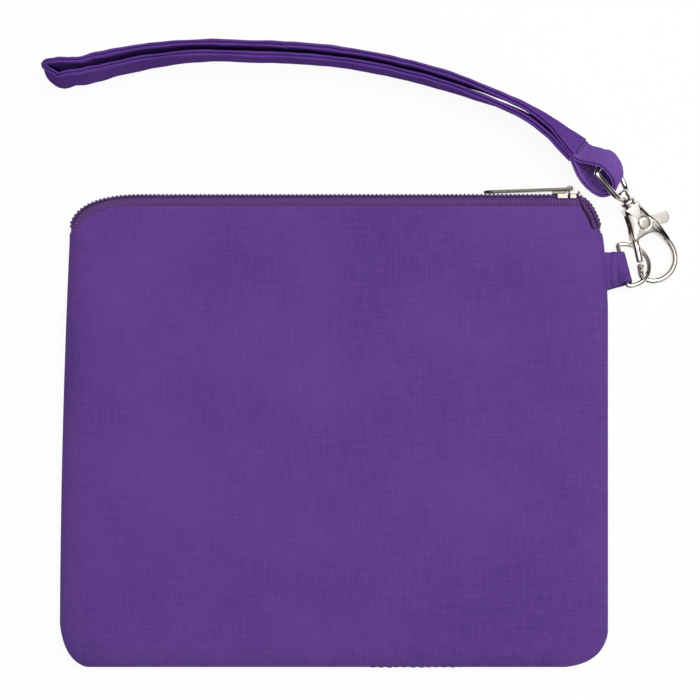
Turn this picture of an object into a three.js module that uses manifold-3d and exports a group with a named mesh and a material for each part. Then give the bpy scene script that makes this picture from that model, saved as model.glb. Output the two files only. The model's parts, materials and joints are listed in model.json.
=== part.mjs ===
// A zip wristlet pouch, lying on its front with its wrist strap clipped on, as an assembly of
// separate pieces.
// Millimetres, +Z up. The origin is the centre of the flat underside, +Y points to the zip.
import * as THREE from "three";
import { LoftGeometry } from "three/addons/geometries/LoftGeometry.js";
import { mergeVertices } from "three/addons/utils/BufferGeometryUtils.js";
import Module from "manifold-3d";

// Clearances between pieces
const clearance = 0.3; // between cloth plies, and round the metal pieces
const runningFit = 0.15; // between a pin and its hole
const seamGap = 0.3; // between the front and back halves where the seam joins them

// Pouch outline, seen from above
const pouchWidth = 164.4; // at the bottom corners
const pouchHeight = 141.8; // from the bottom seam to the outside of the zip coil
const leftLean = 2.9; // how far the left side leans in at the top
const leftBow = 1.2; // how far the left side curves out
const topLeftCorner = [14, 11]; // cut along the top, cut down the side
const topRightCorner = [7.4, 15];
const bottomLeftCorner = [8, 13];
const bottomRightCorner = [10, 13];
const topLeftSoftness = 0.05; // 0 follows the corner, 1 cuts straight across it
const topRightSoftness = 0.4;
const bottomLeftSoftness = 0.3;
const bottomRightSoftness = 0.2;
const cornerSteps = 6;

// Pouch section
const seamHeight = 4.2; // height of the side seams over the table
const pouchThickness = 9.4; // at the middle
const shoulderHeight = 8.7; // where the back panel starts to turn down
const backShoulder = 0.88; // share of the way out where that turn starts
const frontShoulder = 0.935; // the same on the flat front
const sideRoundness = 2.2; // of that turn: 2 is an ellipse, more is blunter
const zipRoundness = 3.2;
const panelCloth = 0.5; // two cotton plies and their interfacing
const tapeCloth = 0.4;
const liningCloth = 0.4;

// Zip
const tapeShown = 3.1; // from the outside of the coil to the folded edge of the panel
const tapeDepth = 10.5; // from the outside of the coil to the inner edge of the tape
const liningSetback = 1.2; // how far the lining stops short of the panel's edge
const zipEndDrop = 13.9; // below the top, where the zip runs out into the side seams
const zipEndTaper = 5;
const coilHeight = 1.2; // outwards from the tape
const coilWidth = 1.5; // of each half
const coilSplit = 1.1; // between the halves, where the slider's post runs

// Zip slider and pull
const sliderInset = 12.2; // from the right side to the middle of the closed slider
const sliderLength = 8;
const sliderWidth = 6.4;
const sliderNose = 0.72; // share of that width at the narrow end
const wingThickness = 0.8;
const innerWingWidth = 3.6;
const postLength = 2.4;
const postThickness = 0.5;
const flangeThickness = 0.8;
const crownWidth = 2;
const crownOffset = 1.2; // of the pull's pin from the slider's middle
const crownWall = 0.5;
const pullPin = 0.4; // radius
const pullLength = 26;
const pullWidth = 5;
const pullThickness = 0.8;
const pullHole = 1.1; // radius of the hole at the free end
const pullDroop = 2; // degrees, so that the free end lies near the coil

// Fabric tab and D-ring
const tabDrop = 22.9; // from the top to the middle of the tab
const tabWidth = 11.4; // in the seam
const tabFoldWidth = 9.9; // inside the D-ring
const tabPly = 0.65; // thickness of one folded ply
const ringBar = [4.9, -21]; // middle of the ring's bar, from the pouch's top right corner
const tabShift = -1; // of the fold's middle along the bar
const ringTurn = 11; // degrees, the ring's lean in the plane of the table
const ringTwist = 24; // degrees, the ring's twist about its own middle line
const ringDroop = 8; // degrees, the bow's dip below the bar
const ringWire = 0.75; // radius
const ringHalf = 7.1; // half of the bar, to the centre of the wire
const ringStraight = 0.9; // straight part of each arm
const ringBend = 0.7; // of the corners between the bar and the arms

// Snap clasp, in its own frame: x along the clasp to the hook, y to the thumb tab, z out of its face
const rivetPlace = [10.5, -8.35, 5.1]; // from the pouch's top right corner and the table
const claspTurn = 35; // degrees from straight down the page
const claspPitch = 9; // degrees, hook end down
const claspRoll = 10; // degrees, thumb side down
const bodyThickness = 4.6;
const bodyBevel = 0.7;
const collarRadius = 3;
const collarLength = 2;
const collarStart = -8.2;
const slotWidth = 2.3;
const rivetRadius = 1.2;
const rivetHead = 1.7; // radius
const rivetHeadHeight = 0.35;
const leverThickness = 1;
const thumbReach = [2.4, 6.7];
const thumbRadius = 2;
const gateRadius = 0.85;
const gateLift = 1; // of the gate's middle over the clasp's mid-plane
const springWire = 0.6;

// Swivel eye
const eyeBase = 1.6; // radius
const eyeBaseEnd = -11.6;
const eyeStem = 1.1; // radius
const eyeHead = 1.6; // radius
const eyeHeadLength = 0.8;
const eyeWire = 0.9; // radius
const eyeReach = 21.6; // from the rivet to the middle of the bar
const eyeHalf = 6.4; // half of the bar, to the centre of the wire
const eyeTilt = 53; // degrees, the bar's slope against the table

// Wrist strap
const strapWidth = 12;
const strapLeg = 2; // thickness of one folded leg
const strapLift = 0.05; // over the table
const strapRise = 1.1; // more, at the stitching
const lobePly = 1.6; // thickness of the strap where it goes round the eye
const lobeWidth = 9.6;
const lobeNarrow = 6.6; // between the legs of the eye
const stitchThread = 0.3; // radius
const stitchWidth = 8.5;
const stitchReach = 2.7; // out of the strap's middle
const stitchPlace = [-7.1, 4, 7]; // from the middle of the eye's bar and the table

// Hand stitches along the bottom edge
const closingStart = 11.5;
const closingLength = 26.5;
const closingStitches = 9;
const closingThread = 0.2; // radius

const wasm = await Module();
wasm.setup();
const radians = THREE.MathUtils.degToRad;
const V2 = (x, y) => new THREE.Vector2(x, y);
const V3 = (x, y, z) => new THREE.Vector3(x, y, z);

// A closed geometry as a solid that can be joined and cut
function solid(geometry) {
  const bare = geometry.index ? geometry.toNonIndexed() : geometry.clone();
  const only = new THREE.BufferGeometry().setAttribute("position", bare.getAttribute("position"));
  const merged = mergeVertices(only, 1e-3);
  const corners = Array.from(merged.index.array);
  const whole = corners.filter((_, i) => {
    const [a, b, c] = corners.slice(i - (i % 3), i - (i % 3) + 3);
    return a !== b && b !== c && c !== a;
  });
  return new wasm.Manifold(
    new wasm.Mesh({
      numProp: 3,
      vertProperties: merged.attributes.position.array,
      triVerts: new Uint32Array(whole),
    }),
  );
}

// The solid back as a geometry
function geometryOf(shape) {
  const mesh = shape.getMesh();
  const geometry = new THREE.BufferGeometry();
  geometry.setAttribute("position", new THREE.BufferAttribute(new Float32Array(mesh.vertProperties), 3));
  geometry.setIndex(new THREE.BufferAttribute(mesh.triVerts, 1));
  return geometry;
}

const join = (...parts) => geometryOf(parts.map(solid).reduce((a, b) => a.add(b)));
const cut = (from, ...tools) => geometryOf(tools.map(solid).reduce((a, b) => a.subtract(b), solid(from)));
const common = (a, b) => geometryOf(solid(a).intersect(solid(b)));

// A skin through rings of points: closed where the last ring repeats the first, capped otherwise
function skin(rings) {
  const loop = rings[0][0].distanceTo(rings.at(-1)[0]) < 1e-6;
  return new LoftGeometry(rings, { capStart: !loop, capEnd: !loop });
}

// A flat outline pulled up from z = low to z = high
function slab(points, low, high, bevel = 0) {
  const shape = new THREE.Shape(points.map(([x, y]) => V2(x, y)));
  const geometry = new THREE.ExtrudeGeometry(shape, {
    depth: high - low - 2 * bevel,
    bevelEnabled: bevel > 0,
    bevelThickness: bevel,
    bevelSize: bevel,
    bevelOffset: -bevel,
    bevelSegments: 1,
    steps: 1,
  });
  return geometry.translate(0, 0, low + bevel);
}

function box(from, to) {
  const size = to.map((v, i) => v - from[i]);
  return new THREE.BoxGeometry(...size).translate(...from.map((v, i) => v + size[i] / 2));
}

// A round bar between two points on one axis
function bar(axis, from, to, radius, sides = 20) {
  const geometry = new THREE.CylinderGeometry(radius, radius, to - from, sides);
  geometry.translate(0, (from + to) / 2, 0);
  if (axis === "x") geometry.rotateZ(-Math.PI / 2);
  if (axis === "z") geometry.rotateX(Math.PI / 2);
  return geometry;
}

// Sections of a swept bar, in shares of its half width and half thickness
const round = (sides) =>
  Array.from({ length: sides }, (_, k) => {
    const angle = (2 * Math.PI * (k + 0.5)) / sides;
    return [Math.cos(angle), Math.sin(angle)];
  });
const folded = [
  [1, -0.5],
  [1, 0.5],
  [0.93, 1],
  [-0.93, 1],
  [-1, 0.5],
  [-1, -0.5],
  [-0.93, -1],
  [0.93, -1],
];

// A bar swept along stations, each with its place, half width, half thickness and the direction of its width
function sweep(stations, section, closed = false) {
  const count = stations.length;
  const rings = stations.map(({ at, across, width, thickness }, i) => {
    const before = stations[closed ? (i + count - 1) % count : Math.max(i - 1, 0)].at;
    const after = stations[closed ? (i + 1) % count : Math.min(i + 1, count - 1)].at;
    const along = after.clone().sub(before).normalize();
    const up = along.clone().cross(across).normalize();
    const side = up.clone().cross(along);
    return section.map(([s, t]) =>
      at
        .clone()
        .addScaledVector(side, s * width)
        .addScaledVector(up, t * thickness),
    );
  });
  if (closed) rings.push(rings[0].map((p) => p.clone()));
  return skin(rings);
}

// A wire bent in the x-y plane
function wire(points, radius, sides, closed) {
  const stations = points.map(([x, y, z = 0, width = radius, thickness = radius]) => ({
    at: V3(x, y, z),
    width,
    thickness,
  }));
  const count = stations.length;
  stations.forEach((station, i) => {
    const before = stations[closed ? (i + count - 1) % count : Math.max(i - 1, 0)].at;
    const after = stations[closed ? (i + 1) % count : Math.min(i + 1, count - 1)].at;
    station.across = V3(0, 0, 1).cross(after.clone().sub(before));
  });
  return sweep(stations, round(sides), closed);
}

const part = new THREE.Group();
const cloth = (colour) => ({ color: colour, roughness: 0.9, metalness: 0 });
const finishes = {
  panel: cloth(0x5d3d85),
  lining: cloth(0x4b2f70),
  tape: cloth(0x5a3b72),
  coil: { color: 0x3a1f55, roughness: 0.45, metalness: 0 },
  metal: { color: 0xc9c6c2, roughness: 0.2, metalness: 1 },
  thread: cloth(0x533478),
};

function add(name, geometry, finish, group = part) {
  const mesh = new THREE.Mesh(geometry, new THREE.MeshStandardMaterial(finishes[finish]));
  mesh.name = name;
  group.add(mesh);
}

// Pouch outline: straight sides, a bowed left side, and corners pulled towards their chords
const halfWidth = pouchWidth / 2;
const halfHeight = pouchHeight / 2;
const leftTop = leftLean - halfWidth;
const zipEndHeight = halfHeight - zipEndDrop;

function pouchOutline() {
  const path = new THREE.Path();
  const foot = [-halfWidth, bottomLeftCorner[1] - halfHeight];
  const corner = (x, y, end, softness) => {
    const start = path.currentPoint;
    const pull = (a, b, c) => a + ((b + c) / 2 - a) * softness;
    path.quadraticCurveTo(pull(x, start.x, end[0]), pull(y, start.y, end[1]), ...end);
  };
  path.moveTo(...foot);
  path.quadraticCurveTo((leftTop - halfWidth) / 2 - leftBow, 0, leftTop, zipEndHeight);
  path.lineTo(leftTop, halfHeight - topLeftCorner[1]);
  corner(leftTop, halfHeight, [leftTop + topLeftCorner[0], halfHeight], topLeftSoftness);
  path.lineTo(halfWidth - topRightCorner[0], halfHeight);
  corner(halfWidth, halfHeight, [halfWidth, halfHeight - topRightCorner[1]], topRightSoftness);
  path.lineTo(halfWidth, bottomRightCorner[1] - halfHeight);
  corner(halfWidth, -halfHeight, [halfWidth - bottomRightCorner[0], -halfHeight], bottomRightSoftness);
  path.lineTo(bottomLeftCorner[0] - halfWidth, -halfHeight);
  corner(-halfWidth, -halfHeight, foot, bottomLeftSoftness);
  const points = path.getPoints(cornerSteps);
  points.pop();
  return points;
}

const outline = pouchOutline();
const outwards = outline.map((_, i) => {
  const along = outline[(i + 1) % outline.length].clone().sub(outline.at(i - 1)).normalize();
  return V2(-along.y, along.x);
});

// The outline moved in by a depth, which may be a function of the point
function insetOutline(depth) {
  return outline.map((p, i) => p.clone().addScaledVector(outwards[i], -(depth.call ? depth(p) : depth)));
}

// Share of the way from the side seams (0) into the zip (1)
const zipShare = (p) => THREE.MathUtils.clamp((p.y - zipEndHeight) / zipEndTaper, 0, 1);

// The space inside a line that keeps a depth along the zip and runs outside the seams below its ends
function mouth(depth) {
  const edge = insetOutline((p) => THREE.MathUtils.lerp(-1, depth, zipShare(p)));
  return slab(
    edge.map((p) => [p.x, p.y]),
    -1,
    2 * pouchThickness,
  );
}

// A ring of one cloth surface of the back (side 1) or the front (side -1), at a share of the way out
function clothRing(side, inset, depth, rim, share) {
  const turn = side > 0 ? backShoulder : frontShoulder;
  const rise = side > 0 ? shoulderHeight - seamHeight : seamHeight;
  const crown = side > 0 ? pouchThickness - shoulderHeight : 0;
  const over = Math.max(0, share - turn) / (1 - turn);
  const dome = crown * Math.max(0, 1 - (share / turn) ** 2);
  return insetOutline(inset).map((p) => {
    const roundness = THREE.MathUtils.lerp(sideRoundness, zipRoundness, zipShare(p));
    const wall = (1 - over ** roundness) ** (1 / roundness);
    return V3(p.x * share, p.y * share, seamHeight + side * (rim + (rise - depth - rim) * wall + dome));
  });
}

// One ply of cloth between two such surfaces, from its middle out to the rim and back
function ply(side, inset, depth, thickness, rim) {
  const turn = side > 0 ? backShoulder : frontShoulder;
  const domed = side > 0 ? [0, 0.3, 0.6] : [0];
  const shares = [...domed, ...[0, 0.4, 0.65, 0.85, 0.96, 1].map((t) => turn + t * (1 - turn))];
  const outer = shares.map((share) => clothRing(side, inset, depth, rim, share));
  const inner = shares.map((share) => clothRing(side, inset + thickness, depth + thickness, rim, share));
  const rings = [...outer, ...inner.toReversed()];
  return new LoftGeometry(side > 0 ? rings : rings.map((ring) => ring.toReversed()));
}

const tapeInset = coilHeight + clearance;
const tapeLevel = panelCloth + clearance;
const liningInset = tapeInset + tapeCloth + clearance;
const liningLevel = tapeLevel + tapeCloth + clearance;

for (const [half, side] of [
  ["back", 1],
  ["front", -1],
]) {
  const panel = ply(side, 0, 0, panelCloth, seamGap / 2);
  add(`${half}_panel`, common(panel, mouth(tapeShown)), "panel");

  const lining = ply(side, liningInset, liningLevel, liningCloth, seamGap / 2);
  add(`${half}_lining`, common(lining, mouth(tapeShown + liningSetback)), "lining");

  const tape = ply(side, tapeInset, tapeLevel, tapeCloth, coilSplit / 2);
  const tapeFoot = box(
    [-pouchWidth, -pouchHeight, -1],
    [pouchWidth, halfHeight - tapeDepth, 2 * pouchThickness],
  );
  add(`zip_tape_${half}`, cut(tape, tapeFoot), "tape");

  // Half of the coil: a bar of nylon loops along the outside of the tape's edge
  const middle = insetOutline(coilHeight / 2).filter((p, i) => zipShare(outline[i]) > 0.65);
  const coil = middle.map((p) => ({
    at: V3(p.x, p.y, seamHeight + (side * (coilSplit + coilWidth)) / 2),
    across: V3(0, 0, 1),
    width: coilWidth / 2,
    thickness: coilHeight / 2,
  }));
  add(`zip_coil_${half}`, sweep(coil, folded), "coil");

  // Thread that sews the tape down, between the coil and the panel's edge
  const rowInset = tapeInset - clearance - stitchThread;
  const row = clothRing(side, rowInset, tapeLevel - clearance, coilSplit / 2, 0.985);
  const thread = row
    .filter((_, i) => outline[i].y === halfHeight)
    .map((at) => ({ at, across: V3(0, 0, 1), width: stitchThread / 2, thickness: stitchThread / 2 }));
  add(`tape_stitching_${half}`, sweep(thread, round(6)), "thread");
}

// Zip slider, closed at the right end: x along the zip, y out of the pouch, z across the zip
const slider = new THREE.Group();
slider.position.set(halfWidth - sliderInset, halfHeight, seamHeight);
part.add(slider);

const sliderEnd = sliderLength / 2;
function wing(width, low, high) {
  const half = [
    [-sliderEnd, sliderNose / 2],
    [0.1 * sliderEnd, 0.5],
    [0.8 * sliderEnd, 0.5],
    [sliderEnd, 0.35],
  ].map(([x, share]) => [x, share * width]);
  const points = [...half, ...half.toReversed().map(([x, z]) => [x, -z])];
  return slab(points, -high, -low).rotateX(Math.PI / 2);
}

const wingFoot = clearance;
const wingTop = wingFoot + wingThickness;
const innerTop = -(tapeInset + tapeCloth + clearance + runningFit);
const flangeInside = (coilSplit + 2 * coilWidth) / 2 + clearance;
const flangeOutside = flangeInside + flangeThickness;
const flangeEnd = 0.36 * sliderLength;
const pinHole = pullPin + clearance;
const crownRadius = pinHole + crownWall;
const pinHeight = wingTop + pinHole + 0.1;
const postEnd = sliderEnd - 0.4;
const lug = (low, high, from, to, half) => box([from, low, -half], [to, high, half]);
add(
  "zip_slider",
  cut(
    join(
      wing(sliderWidth, wingFoot, wingTop),
      wing(innerWingWidth, innerTop - wingThickness, innerTop),
      lug(innerTop - 0.1, wingFoot + 0.1, postEnd - postLength, postEnd, postThickness / 2),
      box([-flangeEnd, 0.1 - coilHeight, flangeInside], [flangeEnd, wingFoot + 0.1, flangeOutside]),
      box([-flangeEnd, 0.1 - coilHeight, -flangeOutside], [flangeEnd, wingFoot + 0.1, -flangeInside]),
      lug(wingTop - 0.1, pinHeight, crownOffset - crownRadius, crownOffset + crownRadius, crownWidth / 2),
      bar("z", -crownWidth / 2, crownWidth / 2, crownRadius).translate(crownOffset, pinHeight, 0),
    ),
    bar("z", -crownWidth, crownWidth, pinHole).translate(crownOffset, pinHeight, 0),
  ),
  "metal",
  slider,
);

// Zip pull: a plate with a window at one end, whose end bar is the pin through the crown
const pull = new THREE.Group();
pull.position.set(crownOffset, pinHeight, 0);
pull.rotation.z = radians(pullDroop);
slider.add(pull);

const windowEnd = crownRadius + clearance;
const windowHalf = crownWidth / 2 + clearance;
const plateEnd = pullWidth / 2 - pullLength;
const plate = [
  [pullPin, -pullWidth / 2],
  [pullPin, pullWidth / 2],
];
for (let i = 0; i <= 8; i++) {
  const angle = Math.PI / 2 + (Math.PI * i) / 8;
  plate.push([plateEnd + (Math.cos(angle) * pullWidth) / 2, (Math.sin(angle) * pullWidth) / 2]);
}
add(
  "zip_pull",
  join(
    cut(
      slab(plate, -pullThickness / 2, pullThickness / 2).rotateX(-Math.PI / 2),
      box([-windowEnd, -pullThickness, -windowHalf], [pullPin + 1, pullThickness, windowHalf]),
      bar("y", -pullThickness, pullThickness, pullHole).translate(plateEnd, 0, 0),
    ),
    bar("z", -pullWidth / 2, pullWidth / 2, pullPin),
  ),
  "metal",
  pull,
);

// D-ring: x out along the ring's bow, y up the bar, z out of the ring's face
const ring = new THREE.Group();
const ringUp = V3(
  -Math.sin(radians(ringTurn)) * Math.cos(radians(ringTwist)),
  Math.cos(radians(ringTurn)) * Math.cos(radians(ringTwist)),
  -Math.sin(radians(ringTwist)),
);
const ringOut = V3(Math.cos(radians(ringTurn)), Math.sin(radians(ringTurn)), 0);
ringOut.applyAxisAngle(ringUp, radians(ringDroop));
ring.position.set(halfWidth + ringBar[0], halfHeight + ringBar[1], seamHeight);
ring.setRotationFromMatrix(new THREE.Matrix4().makeBasis(ringOut, ringUp, ringOut.clone().cross(ringUp)));
part.add(ring);
part.updateMatrixWorld(true);

const ringWireEnds = ringHalf - ringBend;
const bow = [[0, -ringWireEnds], [0, 0], [0, ringWireEnds], [0.3 * ringBend, ringHalf - 0.3 * ringBend]];
for (let i = 0; i <= 16; i++) {
  const angle = Math.PI / 2 - (Math.PI * i) / 16;
  bow.push([ringStraight + ringHalf * Math.cos(angle), ringHalf * Math.sin(angle)]);
}
bow.push([0.3 * ringBend, 0.3 * ringBend - ringHalf]);
add("d_ring", wire(bow, ringWire, 10, true), "metal", ring);

// Fabric tab: a strip folded round the ring's bar, with its ends in the side seam
const sleeveHole = ringWire + clearance;
const sleeve = sleeveHole + tabPly;
function tabRing(share) {
  const root = V3(halfWidth + clearance, halfHeight - tabDrop + (share * tabWidth) / 2, seamHeight);
  const fold = ring.localToWorld(V3(0, tabShift + (share * tabFoldWidth) / 2, 0));
  const out = fold.clone().sub(root).normalize();
  const up = out.clone().cross(ringUp).normalize();
  const points = [root.clone().add(V3(0, 0, -tabPly)), root.clone().add(V3(0, 0, tabPly))];
  for (let i = 0; i <= 10; i++) {
    const angle = 1.9 - 0.38 * i;
    const to = fold.clone().addScaledVector(out, sleeve * Math.cos(angle));
    points.push(to.addScaledVector(up, sleeve * Math.sin(angle)));
  }
  return points;
}
const tab = skin([-1, -0.5, 0, 0.5, 1].map(tabRing));
const bore = bar("y", -tabWidth, tabWidth, sleeveHole, 16).applyMatrix4(ring.matrixWorld);
add("d_ring_tab", cut(tab, bore), "panel");

// Clasp frame
const clasp = new THREE.Group();
const along = V3(Math.sin(radians(claspTurn)), -Math.cos(radians(claspTurn)), 0);
const aside = V3(Math.cos(radians(claspTurn)), Math.sin(radians(claspTurn)), 0);
along.applyAxisAngle(aside, radians(claspPitch));
aside.applyAxisAngle(along, -radians(claspRoll));
clasp.position.set(...rivetPlace).add(V3(halfWidth, halfHeight, 0));
clasp.setRotationFromMatrix(new THREE.Matrix4().makeBasis(along, aside, along.clone().cross(aside)));
part.add(clasp);

// Clasp hook: a bevelled body with a slot for the lever, and the hook that bends back to meet the gate
const cheeks = [
  [-6.4, -2.9],
  [3, -5.6],
  [3.3, -1],
  [4.4, 1.4],
  [6, 3.4],
  [4.3, 4.1],
  [-0.5, 3.4],
  [-5.2, 2.8],
  [-6.4, 2.9],
];
const slot = [
  [-4.8, -9],
  [9, -9],
  [9, 0.6],
  [4, 0.6],
  [4, 9],
  [-4.8, 9],
];
// x, y, z, half width and half thickness along the hook
const hook = [
  [4.4, 2.7, 0, 1.1, 1.4],
  [5.8, 3.1, 0, 1.05, 1.2],
  [8.3, 3.6, 0, 0.95, 1.1],
  [11, 3.8, 0, 0.85, 1.05],
  [13.6, 3.2, 0, 0.8, 1.05],
  [15.8, 1.7, 0, 0.8, 1.05],
  [17.3, -0.8, -0.2, 0.8, 1],
  [17.6, -3.9, -0.6, 0.8, 0.95],
  [16.6, -6.6, -1.1, 0.75, 0.8],
  [14.9, -8.1, -1.35, 0.75, 0.7],
  [13.3, -8.8, -1.15, 0.8, 0.75],
  [12.2, -8.7, -1.05, 0.85, 0.75],
  [11.3, -8.45, -0.55, 0.95, 0.8],
  [10.4, -8.1, 0.35, 1.2, 1],
  [9.75, -7.85, 0.9, 1.2, 1],
];
const cheekTop = bodyThickness / 2;
const chamberStart = collarStart + collarLength;
const chamberEnd = chamberStart + eyeHeadLength + 2 * clearance;
add(
  "clasp_hook",
  join(
    cut(
      join(
        slab(cheeks, -cheekTop, cheekTop, bodyBevel),
        bar("x", collarStart, chamberStart + 0.3, collarRadius),
      ),
      slab(slot, -slotWidth / 2, slotWidth / 2),
      bar("x", collarStart - 1, chamberStart + 0.1, eyeStem + clearance),
      bar("x", chamberStart, chamberEnd, eyeHead + clearance),
      bar("z", -bodyThickness, bodyThickness, rivetRadius + runningFit),
    ),
    wire(hook, 1, 10, false),
  ),
  "metal",
  clasp,
);

const headFoot = cheekTop + runningFit;
add(
  "clasp_rivet",
  join(
    bar("z", -headFoot - 0.1, headFoot + 0.1, rivetRadius),
    bar("z", headFoot, headFoot + rivetHeadHeight, rivetHead),
    bar("z", -headFoot - rivetHeadHeight, -headFoot, rivetHead),
  ),
  "metal",
  clasp,
);

// Lever: thumb tab, hub and gate in one piece, with the spring on top of it
const leverFoot = runningFit - slotWidth / 2;
const leverTop = leverFoot + leverThickness;
const lean = Math.atan2(thumbReach[1], thumbReach[0]);
const lever = [];
function leverArc(x, y, radius, from, to) {
  for (let i = 0; i <= 8; i++) {
    const angle = from + ((to - from) * i) / 8;
    lever.push([x + radius * Math.cos(angle), y + radius * Math.sin(angle)]);
  }
}
leverArc(...thumbReach, thumbRadius, lean - Math.PI / 2, lean + Math.PI / 2);
leverArc(0, 0, rivetRadius + 1, lean + Math.PI / 2, radians(250));
lever.push([1.2, -4.4], [3.2, -6.3], [5, -6.6], [5, -4.9], [3.6, -3.4], [2.7, 1], [2.9, 3.6]);
const gate = [
  [2.6, -4.6, leverFoot + 0.5, 1, 0.5],
  [4.2, -5.6, gateLift],
  [6.6, -6.55, gateLift],
  [9.1, -7.55, gateLift],
];
add(
  "clasp_trigger",
  cut(
    join(slab(lever, leverFoot, leverTop), wire(gate, gateRadius, 10, false)),
    bar("z", -bodyThickness, bodyThickness, rivetRadius + runningFit),
  ),
  "metal",
  clasp,
);

// Torsion spring round the rivet, between the lever and the cheek, with a leg against each
const springFoot = leverTop + runningFit;
const springTop = springFoot + springWire;
const springInside = rivetRadius + clearance;
const springOutside = springInside + springWire;
const springRing = [
  V2(springInside, springFoot),
  V2(springOutside, springFoot),
  V2(springOutside, springTop),
  V2(springInside, springTop),
  V2(springInside, springFoot),
];
add(
  "clasp_spring",
  join(
    new THREE.LatheGeometry(springRing, 20).rotateX(Math.PI / 2),
    box([chamberEnd + clearance, springInside, springFoot], [0, springOutside, springTop]),
    box([springInside, 0, springFoot], [springOutside, 3.2, springTop]),
  ),
  "metal",
  clasp,
);

// Swivel eye: a bent loop on a round base, with a stem riveted over inside the collar
const eye = new THREE.Group();
eye.rotation.x = radians(claspRoll - eyeTilt);
clasp.add(eye);
part.updateMatrixWorld(true);

const neck = collarStart - clearance;
const loopHalf = [
  [neck - eyeWire, 0],
  [neck - eyeWire - 0.3, 1.8],
  [neck - eyeWire - 1.3, 3.2],
  [neck - eyeWire - 2.8, 4.3],
  [1.5 - eyeReach, eyeHalf],
  [0.4 - eyeReach, eyeHalf - 0.4],
  [-eyeReach, eyeHalf - 1.5],
  [-eyeReach, 0],
];
const loop = [...loopHalf, ...loopHalf.slice(1, -1).toReversed().map(([x, y]) => [x, -y])];
const headStart = chamberStart + clearance;
add(
  "swivel_eye",
  join(
    wire(loop.toReversed(), eyeWire, 10, true),
    bar("x", eyeBaseEnd, neck, eyeBase),
    bar("x", neck - 0.1, headStart + 0.1, eyeStem),
    bar("x", headStart, headStart + eyeHeadLength, eyeHead),
  ),
  "metal",
  eye,
);

// Wrist strap: the middle line between its two legs, from the fold to the stitching, measured from the
// middle of the eye's bar
const barMiddle = eye.localToWorld(V3(-eyeReach, 0, 0));
const barAlong = V3(0, 1, 0).transformDirection(eye.matrixWorld);
const strapFold = [
  [-163.66, 30.27],
  [-165.36, 27.87],
  [-163.06, 25.57],
];
// x, y, distance between the legs' middles, share of the twist towards the eye
const strapRun = [
  [-159.46, 28.27, 4.6, 0],
  [-153.36, 29.17, 4.1, 0],
  [-145.46, 30.97, 3.7, 0],
  [-135.86, 32.57, 3.5, 0],
  [-120.86, 34.17, 3.2, 0],
  [-105.46, 33.97, 3.3, 0],
  [-90.46, 33.37, 3.2, 0],
  [-75.46, 31.77, 3, 0],
  [-60.46, 28.87, 3, 0],
  [-45.46, 24.77, 2.9, 0.03],
  [-30.36, 19.37, 2.7, 0.24],
  [-21.96, 15.47, 2.6, 0.34],
  [-15.16, 10.97, 2.4, 0.5],
  [-10.86, 7.37, 2, 0.75],
  [-7.26, 4.47, 1.7, 0.97],
];
const strapDown = V3(0, 0, -1);
const legStations = (side) =>
  strapRun.map(([x, y, apart, twist], i) => {
    const [beforeX, beforeY] = strapRun[Math.max(i - 1, 0)];
    const [afterX, afterY] = strapRun[Math.min(i + 1, strapRun.length - 1)];
    const forward = V3(afterX - beforeX, afterY - beforeY, 0);
    const across = strapDown.clone().lerp(barAlong, twist).normalize();
    const out = across.clone().cross(forward).normalize();
    const reach = Math.abs(across.z) * strapWidth + Math.abs(out.z) * (apart + strapLeg);
    const level = reach / 2 + strapLift + strapRise * twist ** 2;
    const middle = V3(barMiddle.x + x, barMiddle.y + y, level);
    return {
      at: middle.addScaledVector(out, (side * apart) / 2),
      across,
      width: strapWidth / 2,
      thickness: strapLeg / 2,
    };
  });
const foldStations = strapFold.map(([x, y]) => ({
  at: V3(barMiddle.x + x, barMiddle.y + y, strapWidth / 2 + strapLift),
  across: strapDown,
  width: strapWidth / 2,
  thickness: strapLeg / 2,
}));
const wristLoop = [...legStations(-1).toReversed(), ...foldStations, ...legStations(1)];

// The small loop round the eye, from the middle of the eye's bar: along the clasp, out of it, and how
// much of the strap's full width there is. Past the bar, the first is a share of the room inside the eye.
const eyeRoom = eyeReach + eyeBaseEnd;
const lobe = [
  [-7.7, -3.9, 1],
  [-5.4, -3, 1],
  [-3.3, -0.7, 1],
  [-1, 1.8, 1],
  [0.14, 2.5, 0.9],
  [0.4, 2.4, 0.55],
  [0.62, 1.5, 0.2],
  [0.76, 0.3, 0],
  [0.82, -1.3, 0],
  [0.81, -3, 0.1],
  [0.72, -4.5, 0.4],
  [0.48, -5.6, 0.7],
  [0.2, -6.1, 0.9],
  [-0.9, -6.1, 1],
  [-3.8, -5.5, 1],
  [-5.9, -4.9, 1],
  [-7.7, -4.6, 1],
].map(([p, q, share]) => ({
  at: eye.localToWorld(V3((p > 0 ? p * eyeRoom : p) - eyeReach, 0, q)),
  across: barAlong,
  width: THREE.MathUtils.lerp(lobeNarrow, lobeWidth, share) / 2,
  thickness: lobePly / 2,
}));
const strap = join(sweep(wristLoop, folded), sweep(lobe, folded));

// Stitching across the strap where its two loops meet: a loop of thread through two holes
const stitch = new THREE.Group();
const stitchUp = barAlong.clone().cross(V3(1, -1, 0)).normalize();
stitch.position.set(barMiddle.x + stitchPlace[0], barMiddle.y + stitchPlace[1], stitchPlace[2]);
const stitchThrough = barAlong.clone().cross(stitchUp);
stitch.setRotationFromMatrix(new THREE.Matrix4().makeBasis(barAlong, stitchUp, stitchThrough));
part.add(stitch);
stitch.updateMatrixWorld(true);
const stitchLoop = [
  [stitchWidth / 2, -stitchReach + 0.5],
  [stitchWidth / 2, stitchReach - 0.5],
  [stitchWidth / 2 - 0.5, stitchReach],
  [0.5 - stitchWidth / 2, stitchReach],
  [-stitchWidth / 2, stitchReach - 0.5],
  [-stitchWidth / 2, 0.5 - stitchReach],
  [0.5 - stitchWidth / 2, -stitchReach],
  [stitchWidth / 2 - 0.5, -stitchReach],
];
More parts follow.
